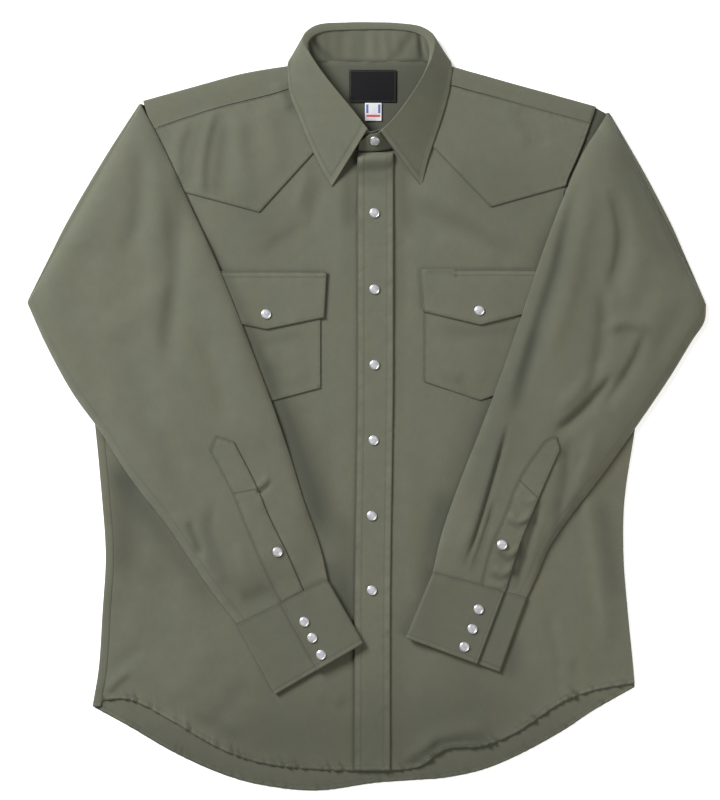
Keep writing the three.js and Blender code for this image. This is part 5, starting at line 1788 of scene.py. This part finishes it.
@dataclass
class Sleeve:
    """One sleeve, folded over the front at the shoulder, with its band and cuff."""

    side: Side
    lip: float = 5.0

    def __post_init__(self) -> None:
        """Lines of the overarm and underarm edge from the fold to the cuff."""
        sections = SLEEVE_LINES[self.side]
        self.over = Line([row[0] for row in sections])
        self.under = Line([row[1] for row in sections])
        self.ripples = (Ripple(61 if self.side is Side.RIGHT else 67, 90, 0.5, 1.5),
                        Ripple(63 if self.side is Side.RIGHT else 69, 34, 0.14, 1.6))

    def top(self, x: Array, y: Array) -> Array:
        """Middle of the upper layer: over the lower one by the air between them, with its folds."""
        lift = relief(SLEEVE_FOLDS[self.side], x, y) + relief(self.ripples, x, y)
        (ax, ay), (bx, by) = self.over(1.0), self.under(1.0)
        from_cuff = np.abs((x - ax) * (by - ay) - (y - ay) * (bx - ax)) / math.hypot(bx - ax, by - ay)
        settle = 1 - 0.97 * (1 - ease(0, AIR_FROM_CUFF, from_cuff))
        return over_height(x, y) + PITCH + np.maximum(PUFF * settle + lift * (0.25 + 0.75 * settle), 0.05)

    def rows(self) -> tuple[Array, Array, Array]:
        """The flat tube from the armhole under the fold, over the fold and down to the cuff.

        Each row runs over the upper layer from the overarm to the underarm edge and back under
        it. The upper layer's rise over the tube's middle is a quarter circle near each edge.

        Returns:
            Middle points, their cut places, and the distance of each from the tube's edge.
        """
        over0, under0 = self.over(0.0), self.under(0.0)
        out = -1.0 if self.side is Side.RIGHT else 1.0
        fold_line = under0 - over0
        outward = np.array([-fold_line[1], fold_line[0]]) / np.linalg.norm(fold_line)
        outward *= 1.0 if outward[0] * out > 0 else -1.0
        f_up = gathered(np.linspace(0, 1, TOP_COLUMNS), 0.68)
        f_low = gathered(np.linspace(1, 0, LOW_COLUMNS)[1:-1], 0.6)
        f = np.concatenate([f_up, f_low])
        sign = np.concatenate([np.ones(len(f_up)), -np.ones(len(f_low))])
        layer = PITCH / 2
        rows, cuts, edges = [], [], []

        def add_row(plan: Array, z: Array, width: float, along: float) -> None:
            """Adds a row, its places on the cut and its distances from the tube's edge."""
            rows.append(np.column_stack([plan, z]))
            cuts.append(np.stack([f * width, np.full_like(f, along)], -1))
            edges.append(np.minimum(f, 1 - f) * width)

        bow = 5.0 * np.sin(np.pi * f) - 2.9
        axis = mix(over0, under0, f[:, None]) + outward * bow[:, None]
        highest = shoulder_fold(out * SHOULDER_TIP_X) - 1.2
        arm_y = np.minimum(armhole_y((1 - f) * (len(ARMHOLE_STEPS) - 1)), highest)
        armhole = points(body_edge(self.side, arm_y) + out * 0.36, arm_y)
        low_z = BACK_Z + layer
        spread = sign * layer * quarter(np.minimum(f, 1 - f) * FOLD_WIDTH, self.lip)
        for t in np.linspace(0, 0.94, UNDER_ROWS):
            add_row(mix(armhole, axis, t), low_z - spread, FOLD_WIDTH, -60 + 60 * t)
        radius = (over_height(axis[:, 0], axis[:, 1]) + layer - low_z) / 2
        for degrees in np.linspace(-90, 90, TURN_ROWS):
            angle = math.radians(degrees)
            reach = (radius + spread) * math.cos(angle)
            add_row(axis + outward * reach[:, None], low_z + radius + (radius + spread) * math.sin(angle),
                    FOLD_WIDTH, 12 * degrees / 180)
        for v in shares(SLEEVE_RUN, 3.6, (2, 4, 6), (1, 2.5))[1:]:
            a, b = self.over(v), self.under(v)
            width = float(np.linalg.norm(a - b))
            plan = mix(a, b, f[:, None])
            x, y = plan[:, 0], plan[:, 1]
            near = np.minimum(f, 1 - f) * width
            low = over_height(x, y)
            curve = quarter(near, self.lip)
            from_fold = 1 - math.exp(-SLEEVE_RUN * v / AIR_FROM_FOLD)
            air = (self.top(x, y) - low - PITCH) * from_fold * (1 - np.exp(-near / AIR_FROM_EDGE))
            z = np.where(sign > 0, low + layer + (layer + air) * curve, low + layer - layer * curve)
            add_row(plan, z, width, 8 + SLEEVE_RUN * v)
        return np.array(rows), np.array(cuts), np.array(edges)

    def make(self, shop: Workshop) -> None:
        """Builds the sleeve, its opening band and its cuff."""
        middle, cut, near = self.rows()
        name = self.side.value
        cloth = Cloth(middle, WALL, ring=True, cut=cut)
        upper = (np.arange(middle.shape[1]) < TOP_COLUMNS)[None].astype(float)
        from_under = cut[..., 0].max(axis=1, keepdims=True) - cut[..., 0]
        wave = 0.5 + 0.5 * np.cos(cut[..., 1] / 5.3) * np.cos(cut[..., 1] / 17.1)
        # Painted shade: the seam's groove, the deep gap under the fold near the armhole, and the shade folds
        # on the upper layer; paler tube edges: wear together with painted highlight
        groove = bell(from_under - SEAM_GROOVE, 1.0) * upper
        number = np.arange(len(middle))[:, None]
        past_turn = number - (UNDER_ROWS + TURN_ROWS - 1)
        deep = (1 - ease(12, 17, number)) * (1 - ease(20, 90, cut[..., 0]))
        shade = relief(SLEEVE_SHADES[self.side], middle[..., 0], middle[..., 1])
        cloth.painted_shade = np.clip(0.35 * groove * (past_turn > 2) + deep + shade * upper * (past_turn > 0), 0, 1)
        cloth.wear_and_highlight = np.exp(-near / 2.5) * 0.8 * wave * (number > UNDER_ROWS)
        sign = 1.0 if cloth.normals()[-30:, 20:60, 2].mean() > 0 else -1.0
        if sign < 0:
            cloth = Cloth(middle[:, ::-1], WALL, True, None, cut[:, ::-1], cloth.wear_and_highlight[:, ::-1],
                          cloth.painted_shade[:, ::-1])
        shop.cloth(f"cloth_sleeve_{name}", cloth, (0.52, 0.68), "folded", [f"cloth_front_{name}"],
                   f"sleeve_{name}")
        self.band(shop)
        self.cuff(shop)

    def band(self, shop: Workshop) -> None:
        """Pointed band over the sleeve opening, laid on the sleeve."""
        rows = SLEEVE_BANDS[self.side]
        outer, inner = Pointed([row[0] for row in rows]), Pointed([row[1] for row in rows])
        cross_at = (0.335, 0.335) if self.side is Side.RIGHT else (0.35, 0.352)
        beside = np.array([0.003, 0.006, 0.01, 0.014])
        round_cross = np.mean(cross_at) + np.concatenate([-beside[::-1], [0.0], beside])
        v = np.unique(np.round(np.concatenate([shares(200, 2.4, (0.6, 1.4, 2.4, 4, 6, 8), fine(2.0)),
                                               outer.tip + np.array([-0.006, 0, 0.006]), round_cross]), 5))
        u = shares(27, 1.7, fine(2.0), fine(2.0))
        plan = mix(outer(v)[:, None], inner(v)[:, None], u[None, :, None])
        line_out, line_in = outer(np.linspace(0, 1, 70)), inner(np.linspace(0, 1, 70))[::-1]
        cross = np.array([outer(cross_at[0]), inner(cross_at[1])])
        if self.side is Side.LEFT:
            plan, line_out, line_in = plan[:, ::-1], line_out[::-1], line_in[::-1]
        seams = (
            Seam(line_out, (2.0,), 81, reach=7.0),
            Seam(line_in, (2.0,), 82, reach=7.0),
            Seam(cross, (0.0,), 83, ridge=0.1, pucker=0.1, reach=4.0),
        )

        def height(x: Array, y: Array) -> Array:
            """On the sleeve's upper layer, with the puckers of the tighter left band."""
            return self.top(x, y) + PITCH + 0.1 + relief(BAND_PUCKERS[self.side], x, y)

        panel = Panel(plan, height, seams, BAND_SHADES[self.side])
        self.band_panel = panel
        name = self.side.value
        stitches = panel.stitch(Stitches(f"stitches_sleeve_band_{name}"), 3)
        shop.cloth(f"cloth_sleeve_band_{name}", panel.cloth(), (0.032, 0.21), "laid",
                   [f"cloth_sleeve_{name}"], f"sleeve_placket_{name}", stitches)

    def cuff_height(self, x: Array, y: Array, level: Array | float) -> Array:
        """Middle of the cuff's cloth at a level: 0 underneath, 1 the underlap, 2 the overlap."""
        wave = Ripple(91 if self.side is Side.RIGHT else 93, 60, 0.3).lift(x, y)
        return over_height(x, y) + 0.2 + level * CUFF_PITCH + wave * level / 2

    def cuff_face(self, x: Array, y: Array) -> Array:
        """Upper face of the cuff's overlap over the plan."""
        return self.cuff_height(x, y, 2.0) + CUFF_WALL / 2

    def cuff(self, shop: Workshop) -> None:
        """Cuff: a strip from the overlap's free edge, under the wrist and back under the overlap."""
        shape = CUFFS[self.side]
        across, level = [], []
        edge = 0.018
        spans = (shape.lap, edge, 2.0), (edge, 1 - edge, 0.0), (1 - edge, shape.lap - 0.2, 1.0)
        for low, high, at in spans:
            part = shares(CUFF_ACROSS * abs(high - low), 1.8, fine(LAP_INSET) if at == 2 else ())
            across.append(mix(low, high, part))
            level.append(np.full(len(part), at))
        turn = np.linspace(np.pi / 2, -np.pi / 2, 9)[1:-1]
        first = (edge - edge * np.cos(turn), 1 + np.sin(turn))
        second = (1 - edge + 0.012 * np.cos(turn[::-1]), 0.5 + 0.5 * np.sin(turn[::-1]))
        a = np.concatenate([across[0], first[0], across[1], second[0], across[2]])
        z = np.concatenate([level[0], first[1], level[1], second[1], level[2]])
        count = len(across[0])
        down = shares(CUFF_DOWN, 2.2, fine(TOP_INSET), fine(HAND_INSET))[:, None]
        inner, outer, hand_in, hand_out = np.array([shape.inner, shape.outer, shape.inner_hand,
                                                    shape.outer_hand], float)
        top, hand = mix(inner, outer, a[:, None]), mix(hand_in, hand_out, a[:, None])
        start = 0.014 - 0.036 * ease(0.3, 0.9, z)
        plan = mix(top[None], hand[None], mix(start[None], 1.0, down)[..., None])
        x, y = plan[..., 0], plan[..., 1]
        from_top, from_hand = down * CUFF_DOWN, (1 - down) * CUFF_DOWN
        from_lap = np.where(np.arange(len(a)) < count, np.abs(a - shape.lap) * CUFF_ACROSS, FAR)[None]
        near = np.minimum(np.minimum(from_top, from_hand), from_lap)
        groove = (bell(from_hand - HAND_INSET, GROOVE) + bell(from_top - TOP_INSET, GROOVE)
                  + bell(from_lap - LAP_INSET, GROOVE))
        stitched = np.where(z[None] > 1.5, 0.25 * (1 - ease(3.0, 5.0, near)) - 0.28 * groove, 0)
        made = Cloth(np.stack([x, y, self.cuff_height(x, y, z[None]) + stitched], -1), CUFF_WALL)
        # Painted shade: an even darkening of the whole cuff, the thread grooves and the edges; paler near the
        # edges: wear together with painted highlight
        made.painted_shade = np.clip(0.3 + 0.5 * groove + bell(near, 0.8), 0, 1) * np.ones_like(x)
        made.wear_and_highlight = np.exp(-near / 2.5) * ease(0.2, 1.0, near) * np.ones_like(x)
        normals = made.normals()
        normals = normals * (1.0 if normals[:, 4:count - 4, 2].mean() > 0 else -1.0)
        face = made.middle + normals * CUFF_WALL / 2
        name = self.side.value
        stitches = Stitches(f"stitches_cuff_{name}")
        numbers = np.arange(len(down))
        columns = np.arange(2.0, count - 1)
        for row in (float(np.interp(HAND_INSET, from_hand[::-1, 0], numbers[::-1])),
                    float(np.interp(TOP_INSET, from_top[:, 0], numbers))):
            at = np.full(len(columns), row), columns
            stitches.add(sample(face, *at), sample(normals, *at))
        rows = np.arange(3.0, len(down) - 3)
        at = rows, np.full(len(rows), float(np.interp(LAP_INSET, from_lap[0, :count], np.arange(count))))
        stitches.add(sample(face, *at), sample(normals, *at))
        shop.cloth(f"cloth_cuff_{name}", made, (0.25, 0.085), "folded", [f"cloth_front_{name}"],
                   f"cuff_{name}", stitches)


@dataclass(frozen=True)
class CuffShape:
    """Corners of a cuff in plan, and where its overlap's free edge lies across."""

    inner: Place
    outer: Place
    inner_hand: Place
    outer_hand: Place
    lap: float


# Rough size of a cuff laid out, for its steps, and how far in its rows of stitches run
CUFF_ACROSS, CUFF_DOWN = 110.0, 80.0
TOP_INSET, HAND_INSET, LAP_INSET = 2.4, 4.5, 3.0
CUFFS = {
    Side.RIGHT: CuffShape((-44, -196), (-145, -247), (-4, -266), (-103, -324), 0.52),
    Side.LEFT: CuffShape((75, -188), (180, -217), (45, -260), (150, -299), 0.755),
}


@dataclass(frozen=True)
class PatchShape:
    """A pointed patch: its sides, top, lower corners and point, and how much it narrows."""

    left: float
    right: float
    top: float
    low: float
    point: float
    middle: float
    narrow: float = 0.0

    def plan(self, u: Array, v: Array) -> Array:
        """Places on the patch: straight sides, and a lower edge that falls to the point."""
        narrow = self.narrow * (1 - v)[:, None]
        x = mix(self.left + narrow, self.right - narrow, u[None])
        half = np.where(x < self.middle, self.middle - self.left, self.right - self.middle)
        low = mix(self.point, self.low, np.clip(np.abs(x - self.middle) / half, 0, 1))
        return points(x, mix(low, self.top, v[:, None]))

    def edges(self) -> tuple[Array, Array, Array]:
        """Lower, right and left edge, counter-clockwise."""
        ends = ((self.left + self.narrow, self.low), (self.middle, self.point),
                (self.right - self.narrow, self.low))
        low = np.concatenate([np.linspace(ends[0], ends[1], 12), np.linspace(ends[1], ends[2], 12)[1:]])
        right = np.linspace(ends[2], (self.right, self.top), 12)
        left = np.linspace((self.left, self.top), ends[0], 12)
        return low, right, left

    def top_edge(self) -> Array:
        """Top edge, from right to left."""
        return np.linspace((self.right, self.top), (self.left, self.top), 20)


POCKET_SHAPES = {Side.RIGHT: PatchShape(-171, -52, 140, 21, 5, -112),
                 Side.LEFT: PatchShape(65, 190, 140, 28, 7, 128)}
FLAP_SHAPES = {Side.RIGHT: PatchShape(-179, -45, 152, 101, 87, -113, 3),
               Side.LEFT: PatchShape(60, 193, 154, 108, 92, 128, 3.5)}
# Where the left flap's top seam stops at the pencil slot
SLOT_END = 100.0


# Creases and shades of the pockets, in the fold tables' columns
POCKET_FOLDS = {
    Side.RIGHT: folds((((-118, 62), (-93, 53), (-68, 62)), 12, 0.9),
                      (((-109, 25), (-86, 32), (-62, 39)), 10, 0.7),
                      (((-129, 75), (-118, 44), (-105, 10)), 10, 0.9)),
    Side.LEFT: folds((((79, 28), (92, 34), (108, 30)), 8, 1.1, 0.3),
                     (((72, 75), (94, 57), (126, 64)), 14, 0.8),
                     (((117, 86), (126, 53), (124, 16)), 12, 0.8),
                     (((88, 16), (103, 19), (121, 10)), 6, -0.4)),
}
POCKET_SHADES = {
    Side.RIGHT: (SLEEVE_SHADE, *folds((((-141, 92), (-120, 45), (-104, -6)), 13, 0.35),
                                      (((-128, 70), (-100, 76), (-66, 84)), 6, 0.25),
                                      (((-118, 46), (-104, 40), (-98, 20)), 8, 0.2))),
    Side.LEFT: folds((((70, 92), (110, 84), (150, 86), (180, 90)), 7, 0.3),
                     (((72, 38), (98, 34), (118, 22)), 7, 0.2)),
}
FLAP_FOLDS = {
    Side.RIGHT: folds((((-160, 96), (-113, 90), (-60, 98)), 10, 0.8)),
    Side.LEFT: folds((((75, 104), (128, 95), (176, 104)), 10, 1.0),
                     (((62, 155), (78, 156), (98, 155)), 4.5, 1.5)),
}


@dataclass
class ChestPocket:
    """A chest pocket with a pointed bottom and a pointed flap over its mouth."""

    side: Side

    def make(self, shop: Workshop) -> None:
        """Builds the pocket and its flap."""
        name = self.side.value
        base = height_of(self.side)
        shape = POCKET_SHAPES[self.side]
        u = np.concatenate([shares(60, 2.6, fine(2.0, 4.6)) * 0.5,
                            1 - shares(60, 2.6, fine(2.0, 4.6))[::-1] * 0.5])
        u = np.unique(np.round(u, 5))

        def pocket_height(x: Array, y: Array) -> Array:
            """Laid on the front, a little full in the middle."""
            full = 0.5 * np.clip(outside_in(x, y, shape.left, shape.right, shape.point, shape.top) / 30, 0, 1)
            return base(x, y) + PITCH + full + relief(POCKET_FOLDS[self.side], x, y)

        seed = 101 if self.side is Side.RIGHT else 111
        pocket = Panel(shape.plan(u, shares(125, 2.8, fine(2.0, 4.6))), pocket_height,
                       tuple(Seam(line, (2.0,), seed + k, ridge=0.22, pucker=0.16, reach=6.0)
                             for k, line in enumerate(shape.edges())), POCKET_SHADES[self.side])
        shop.cloth(f"cloth_pocket_{name}", pocket.cloth(), (0.135, 0.155), "laid", [f"cloth_front_{name}"],
                   f"pocket_{name}", pocket.stitch(Stitches(f"stitches_pocket_{name}"), 3))
        flap_shape = FLAP_SHAPES[self.side]

        def flap_height(x: Array, y: Array) -> Array:
            """On the pocket's mouth, its free lower edge a little raised."""
            return base(x, y) + 2 * PITCH + 0.55 + relief(FLAP_FOLDS[self.side], x, y)

        top, tack = flap_shape.top_edge(), []
        if self.side is Side.LEFT:
            top = np.linspace(top[0], (SLOT_END, flap_shape.top), 14)
            slot_x = SLOT_END + 1.5
            line = np.linspace((slot_x, flap_shape.top), (slot_x, flap_shape.top - 8), 4)
            tack = [Seam(line, (0.4,), seed + 9, groove=0.35, ridge=0.1, pucker=0.0, reach=3.0)]
        seams = (*(Seam(line, (2.0,), seed + 4 + k, pucker=0.14, reach=6.0)
                   for k, line in enumerate(flap_shape.edges())),
                 Seam(top, (1.6, 6.4), seed + 8, ridge=0.2, pucker=0.12, pitch=10.0, reach=5.0), *tack)
        flap = Panel(flap_shape.plan(u, shares(62, 2.4, fine(2.0), fine(1.6, 6.4))), flap_height,
                     seams, (SLEEVE_SHADE,))
        self.flap = flap
        shop.cloth(f"cloth_flap_{name}", flap.cloth(), (0.14, 0.075), "laid", [f"cloth_pocket_{name}"],
                   f"flap_{name}", flap.stitch(Stitches(f"stitches_flap_{name}"), 3))


# Left, right, lower and upper edge of the neck label and of the tag
LABEL = (-19.0, 33.5, 343.5, 379.5)
TAG = (-1.5, 17.0, 322.5, 342.5)


@dataclass
class NeckLabels:
    """Bare neck label and banded size tag, sewn inside the back of the neck."""

    def tab(self, left: float, right: float, low: float, top: float, bend: float) -> Panel:
        """A small rectangle over the yoke, slightly waved."""
        plan = points(*np.meshgrid(np.linspace(left, right, 40), np.linspace(low, top, 30)))

        def height(x: Array, y: Array) -> Array:
            """Over the yoke's rise to the neck, with a soft wave."""
            wave = bend * (1 + np.sin((x - left) / (right - left) * 5.0 + 0.6) * np.cos((y - low) / 16))
            return BACK_Z + neck_rise(y) + PITCH + wave

        return Panel(plan, height)

    def make(self, shop: Workshop) -> None:
        """Builds both tabs."""
        left, right, low, top = LABEL
        label = self.tab(*LABEL, 0.35)
        edge = np.array([(right, top), (left, top), (left, low), (right, low), (right, top)], float)
        stitches = Stitches("stitches_neck_label", 2.4, 1.7, 0.2)
        for a, b in zip(edge[:-1], edge[1:]):
            stitches.add_on(label.face, inside(np.linspace(a, b, 12), 1.2))
        shop.cloth("cloth_neck_label", label.cloth(LABEL_WALL), (0.0525, 0.036), "laid", ["cloth_back_yoke"],
                   "neck_label", stitches, "label_cloth", shop.finishes.label)
        shop.cloth("cloth_size_tag", self.tab(*TAG, 0.5).cloth(TAG_WALL), (0.0185, 0.02), "laid",
                   ["cloth_back_yoke"], "size_tag", None, "tag_cloth", shop.finishes.tag)


@dataclass
class Snap:
    """A snap: a pronged metal rim round a domed pearl cap, turned about its own axis."""

    radius: float = 5.8
    pearl: float = 4.5
    lift: float = 0.1
    around: int = 32

    def lathe(self, name: str, profile: Sequence[Place], place: Array, normal: Array) -> bpy.types.Object:
        """Turns a profile of radius and height about the axis and sets it on its place.

        Args:
            name: Name of the object.
            profile: Radius and height, from the lower centre round to the upper centre.
            place: Foot of the axis.
            normal: Direction of the axis.

        Returns:
            The object.
        """
        profile_points = np.asarray(profile, float)
        angle = np.linspace(0, 2 * np.pi, self.around, endpoint=False)
        side = np.cross(normal, [0.0, 1.0, 0.0])
        side /= np.linalg.norm(side)
        other = np.cross(normal, side)
        ring = np.cos(angle)[:, None] * side + np.sin(angle)[:, None] * other
        radii = np.maximum(profile_points[:, 0], 0.02)
        corners = place + radii[:, None, None] * ring[None] + profile_points[:, 1, None, None] * normal
        rows = len(profile)
        index = np.arange(rows * self.around).reshape(rows, self.around)
        nxt = np.roll(index, -1, axis=1)
        quads = np.stack([index[:-1], nxt[:-1], nxt[1:], index[1:]], -1).reshape(-1, 4)
        half = self.around // 2
        caps = []
        for row, flip in ((0, True), (rows - 1, False)):
            for k in range(1, half):
                face = [index[row, k - 1], index[row, k], index[row, self.around - 1 - k],
                        index[row, (self.around - k) % self.around]]
                caps.append(face[::-1] if flip else face)
        return new_mesh(name, corners.reshape(-1, 3), np.concatenate([quads, np.array(caps)]))

    def make(self, shop: Workshop, name: str, place: Array, normal: Array) -> None:
        """Builds the rim and the pearl on a place."""
        foot = place + normal * self.lift
        r, p = self.radius, self.pearl
        rim = ((0.1, -0.3), (r - 0.4, -0.3), (r, 0.0), (r + 0.02, 0.7), (r - 0.2, 1.35), (r - 0.55, 1.75),
               (r - 0.95, 1.9), (p + 0.05, 1.75), (p - 0.15, 1.45), (p - 0.3, 1.0), (0.1, 0.9))
        shop.piece(self.lathe(f"{name}_rim", rim, foot, normal), shop.finishes.rim, "snap_rim")
        dome = [(p * math.sin(a), 1.35 + 1.05 * math.cos(a) ** 0.9 if math.cos(a) > 0 else 1.35)
                for a in np.linspace(math.pi / 2, 0.0, 12)]
        profile = [(0.1, 0.95), (p - 0.3, 0.95), (p, 1.15), *dome]
        shop.piece(self.lathe(f"{name}_pearl", profile, foot, normal), shop.finishes.pearl, "pearl", name)


# Places of the snaps in plan; the top snap is on the collar stand
FRONT_SNAPS = ((9, 218), (9, 132), (9, 47), (8, -38), (6, -123), (6, -207))
POCKET_SNAPS = {Side.RIGHT: (-113, 104), Side.LEFT: (127, 108)}
SLEEVE_SNAPS = {Side.RIGHT: (-100, -163), Side.LEFT: (152, -155)}
CUFF_SNAPS = {Side.RIGHT: ((-70, -242), (-61, -260), (-51, -279)),
              Side.LEFT: ((126, -228), (119, -250), (110, -270))}


def place_on(height: Height, place: Place) -> tuple[Array, Array]:
    """Point and normal of a surface given by its height over the plan."""
    x, y = (np.array([float(c)]) for c in place)
    reach = 5.0
    normal = np.array([(height(x - reach, y) - height(x + reach, y))[0] / (2 * reach),
                       (height(x, y - reach) - height(x, y + reach))[0] / (2 * reach), 1.0])
    return np.array([x[0], y[0], height(x, y)[0]]), normal / np.linalg.norm(normal)


@dataclass
class Studio:
    """Plain pale floor, soft lights and the overhead camera."""

    centre: Place = (-7.3, 7.3)
    view_height_mm: float = 904.0
    distance: float = 2.6
    sensor: float = 24.0

    def make(self) -> None:
        """Builds the floor, the lights and the camera."""
        scene = bpy.context.scene
        scene.view_settings.view_transform = "Standard"
        floor_mesh = bpy.data.meshes.new("floor")
        size, down = 6.0, -0.0004
        corners = [(-size, -size, down), (size, -size, down), (size, size, down), (-size, size, down)]
        floor_mesh.from_pydata(corners, [], [(0, 1, 2, 3)])
        floor = bpy.data.objects.new("floor", floor_mesh)
        scene.collection.objects.link(floor)
        paper = bpy.data.materials.new("white paper")
        paper.use_nodes = True
        shader = paper.node_tree.nodes["Principled BSDF"]
        shader.inputs["Base Color"].default_value = (0.92, 0.92, 0.92, 1)
        shader.inputs["Roughness"].default_value = 0.9
        shader.inputs["Emission Color"].default_value = (1, 1, 1, 1)
        shader.inputs["Emission Strength"].default_value = 0.45
        floor_mesh.materials.append(paper)
        world = bpy.data.worlds.new("soft room")
        scene.world = world
        world.use_nodes = True
        world.node_tree.nodes["Background"].inputs["Color"].default_value = (0.99, 0.99, 0.99, 1)
        world.node_tree.nodes["Background"].inputs["Strength"].default_value = 0.27
        self.light("key", (-1.84, 1.52, 1.84), 1.1, 142.0, (0.98, 1.0, 1.0))
        self.light("fill", (1.6, -1.1, 1.5), 1.4, 25.0, (1.0, 0.95, 0.87))
        camera = bpy.data.cameras.new("camera")
        camera.sensor_fit = "VERTICAL"
        camera.sensor_height = self.sensor
        camera.lens = self.sensor * self.distance / (self.view_height_mm * MM)
        seat = bpy.data.objects.new("camera", camera)
        scene.collection.objects.link(seat)
        seat.location = (self.centre[0] * MM, self.centre[1] * MM, self.distance)
        scene.camera = seat

    def light(self, name: str, place: tuple[float, float, float], size: float, power: float,
              color: tuple[float, float, float]) -> None:
        """Adds a soft square light that faces the middle of the shirt."""
        lamp = bpy.data.lights.new(name, "AREA")
        lamp.size, lamp.energy, lamp.color = size, power, color
        made = bpy.data.objects.new(name, lamp)
        bpy.context.scene.collection.objects.link(made)
        made.location = place
        x, y, z = place
        length = math.sqrt(x * x + y * y + z * z)
        made.rotation_euler = (math.acos(z / length), 0.0, math.atan2(y, x) + math.pi / 2)


def main() -> None:
    """Builds the shirt piece by piece and sets the studio."""
    logging.basicConfig(level=logging.INFO, format="%(name)s %(message)s")
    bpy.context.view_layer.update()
    Studio().make()
    shop = Workshop(Finishes.make())
    body = Body()
    body.back_panel(shop)
    body.back_yoke(shop)
    for side in Side:
        body.front(shop, side)
        body.front_yoke(shop, side)
    band = FrontBand()
    band.make(shop)
    collar = Collar()
    collar.make(shop)
    NeckLabels().make(shop)
    snap = Snap()
    for side in Side:
        pocket = ChestPocket(side)
        pocket.make(shop)
        sleeve = Sleeve(side)
        sleeve.make(shop)
        name = side.value
        snap.make(shop, f"snap_pocket_{name}", *place_on(pocket.flap.face, POCKET_SNAPS[side]))
        snap.make(shop, f"snap_sleeve_{name}", *place_on(sleeve.band_panel.face, SLEEVE_SNAPS[side]))
        for number, place in enumerate(CUFF_SNAPS[side], 1):
            snap.make(shop, f"snap_cuff_{name}_{number}", *place_on(sleeve.cuff_face, place))
    snap.make(shop, "snap_front_1", *collar.snap_place())
    for number, place in enumerate(FRONT_SNAPS, 2):
        snap.make(shop, f"snap_front_{number}", *place_on(band.panel.face, place))
    log.info("%d pieces", len(shop.made))


if __name__ == "__main__":
    main()
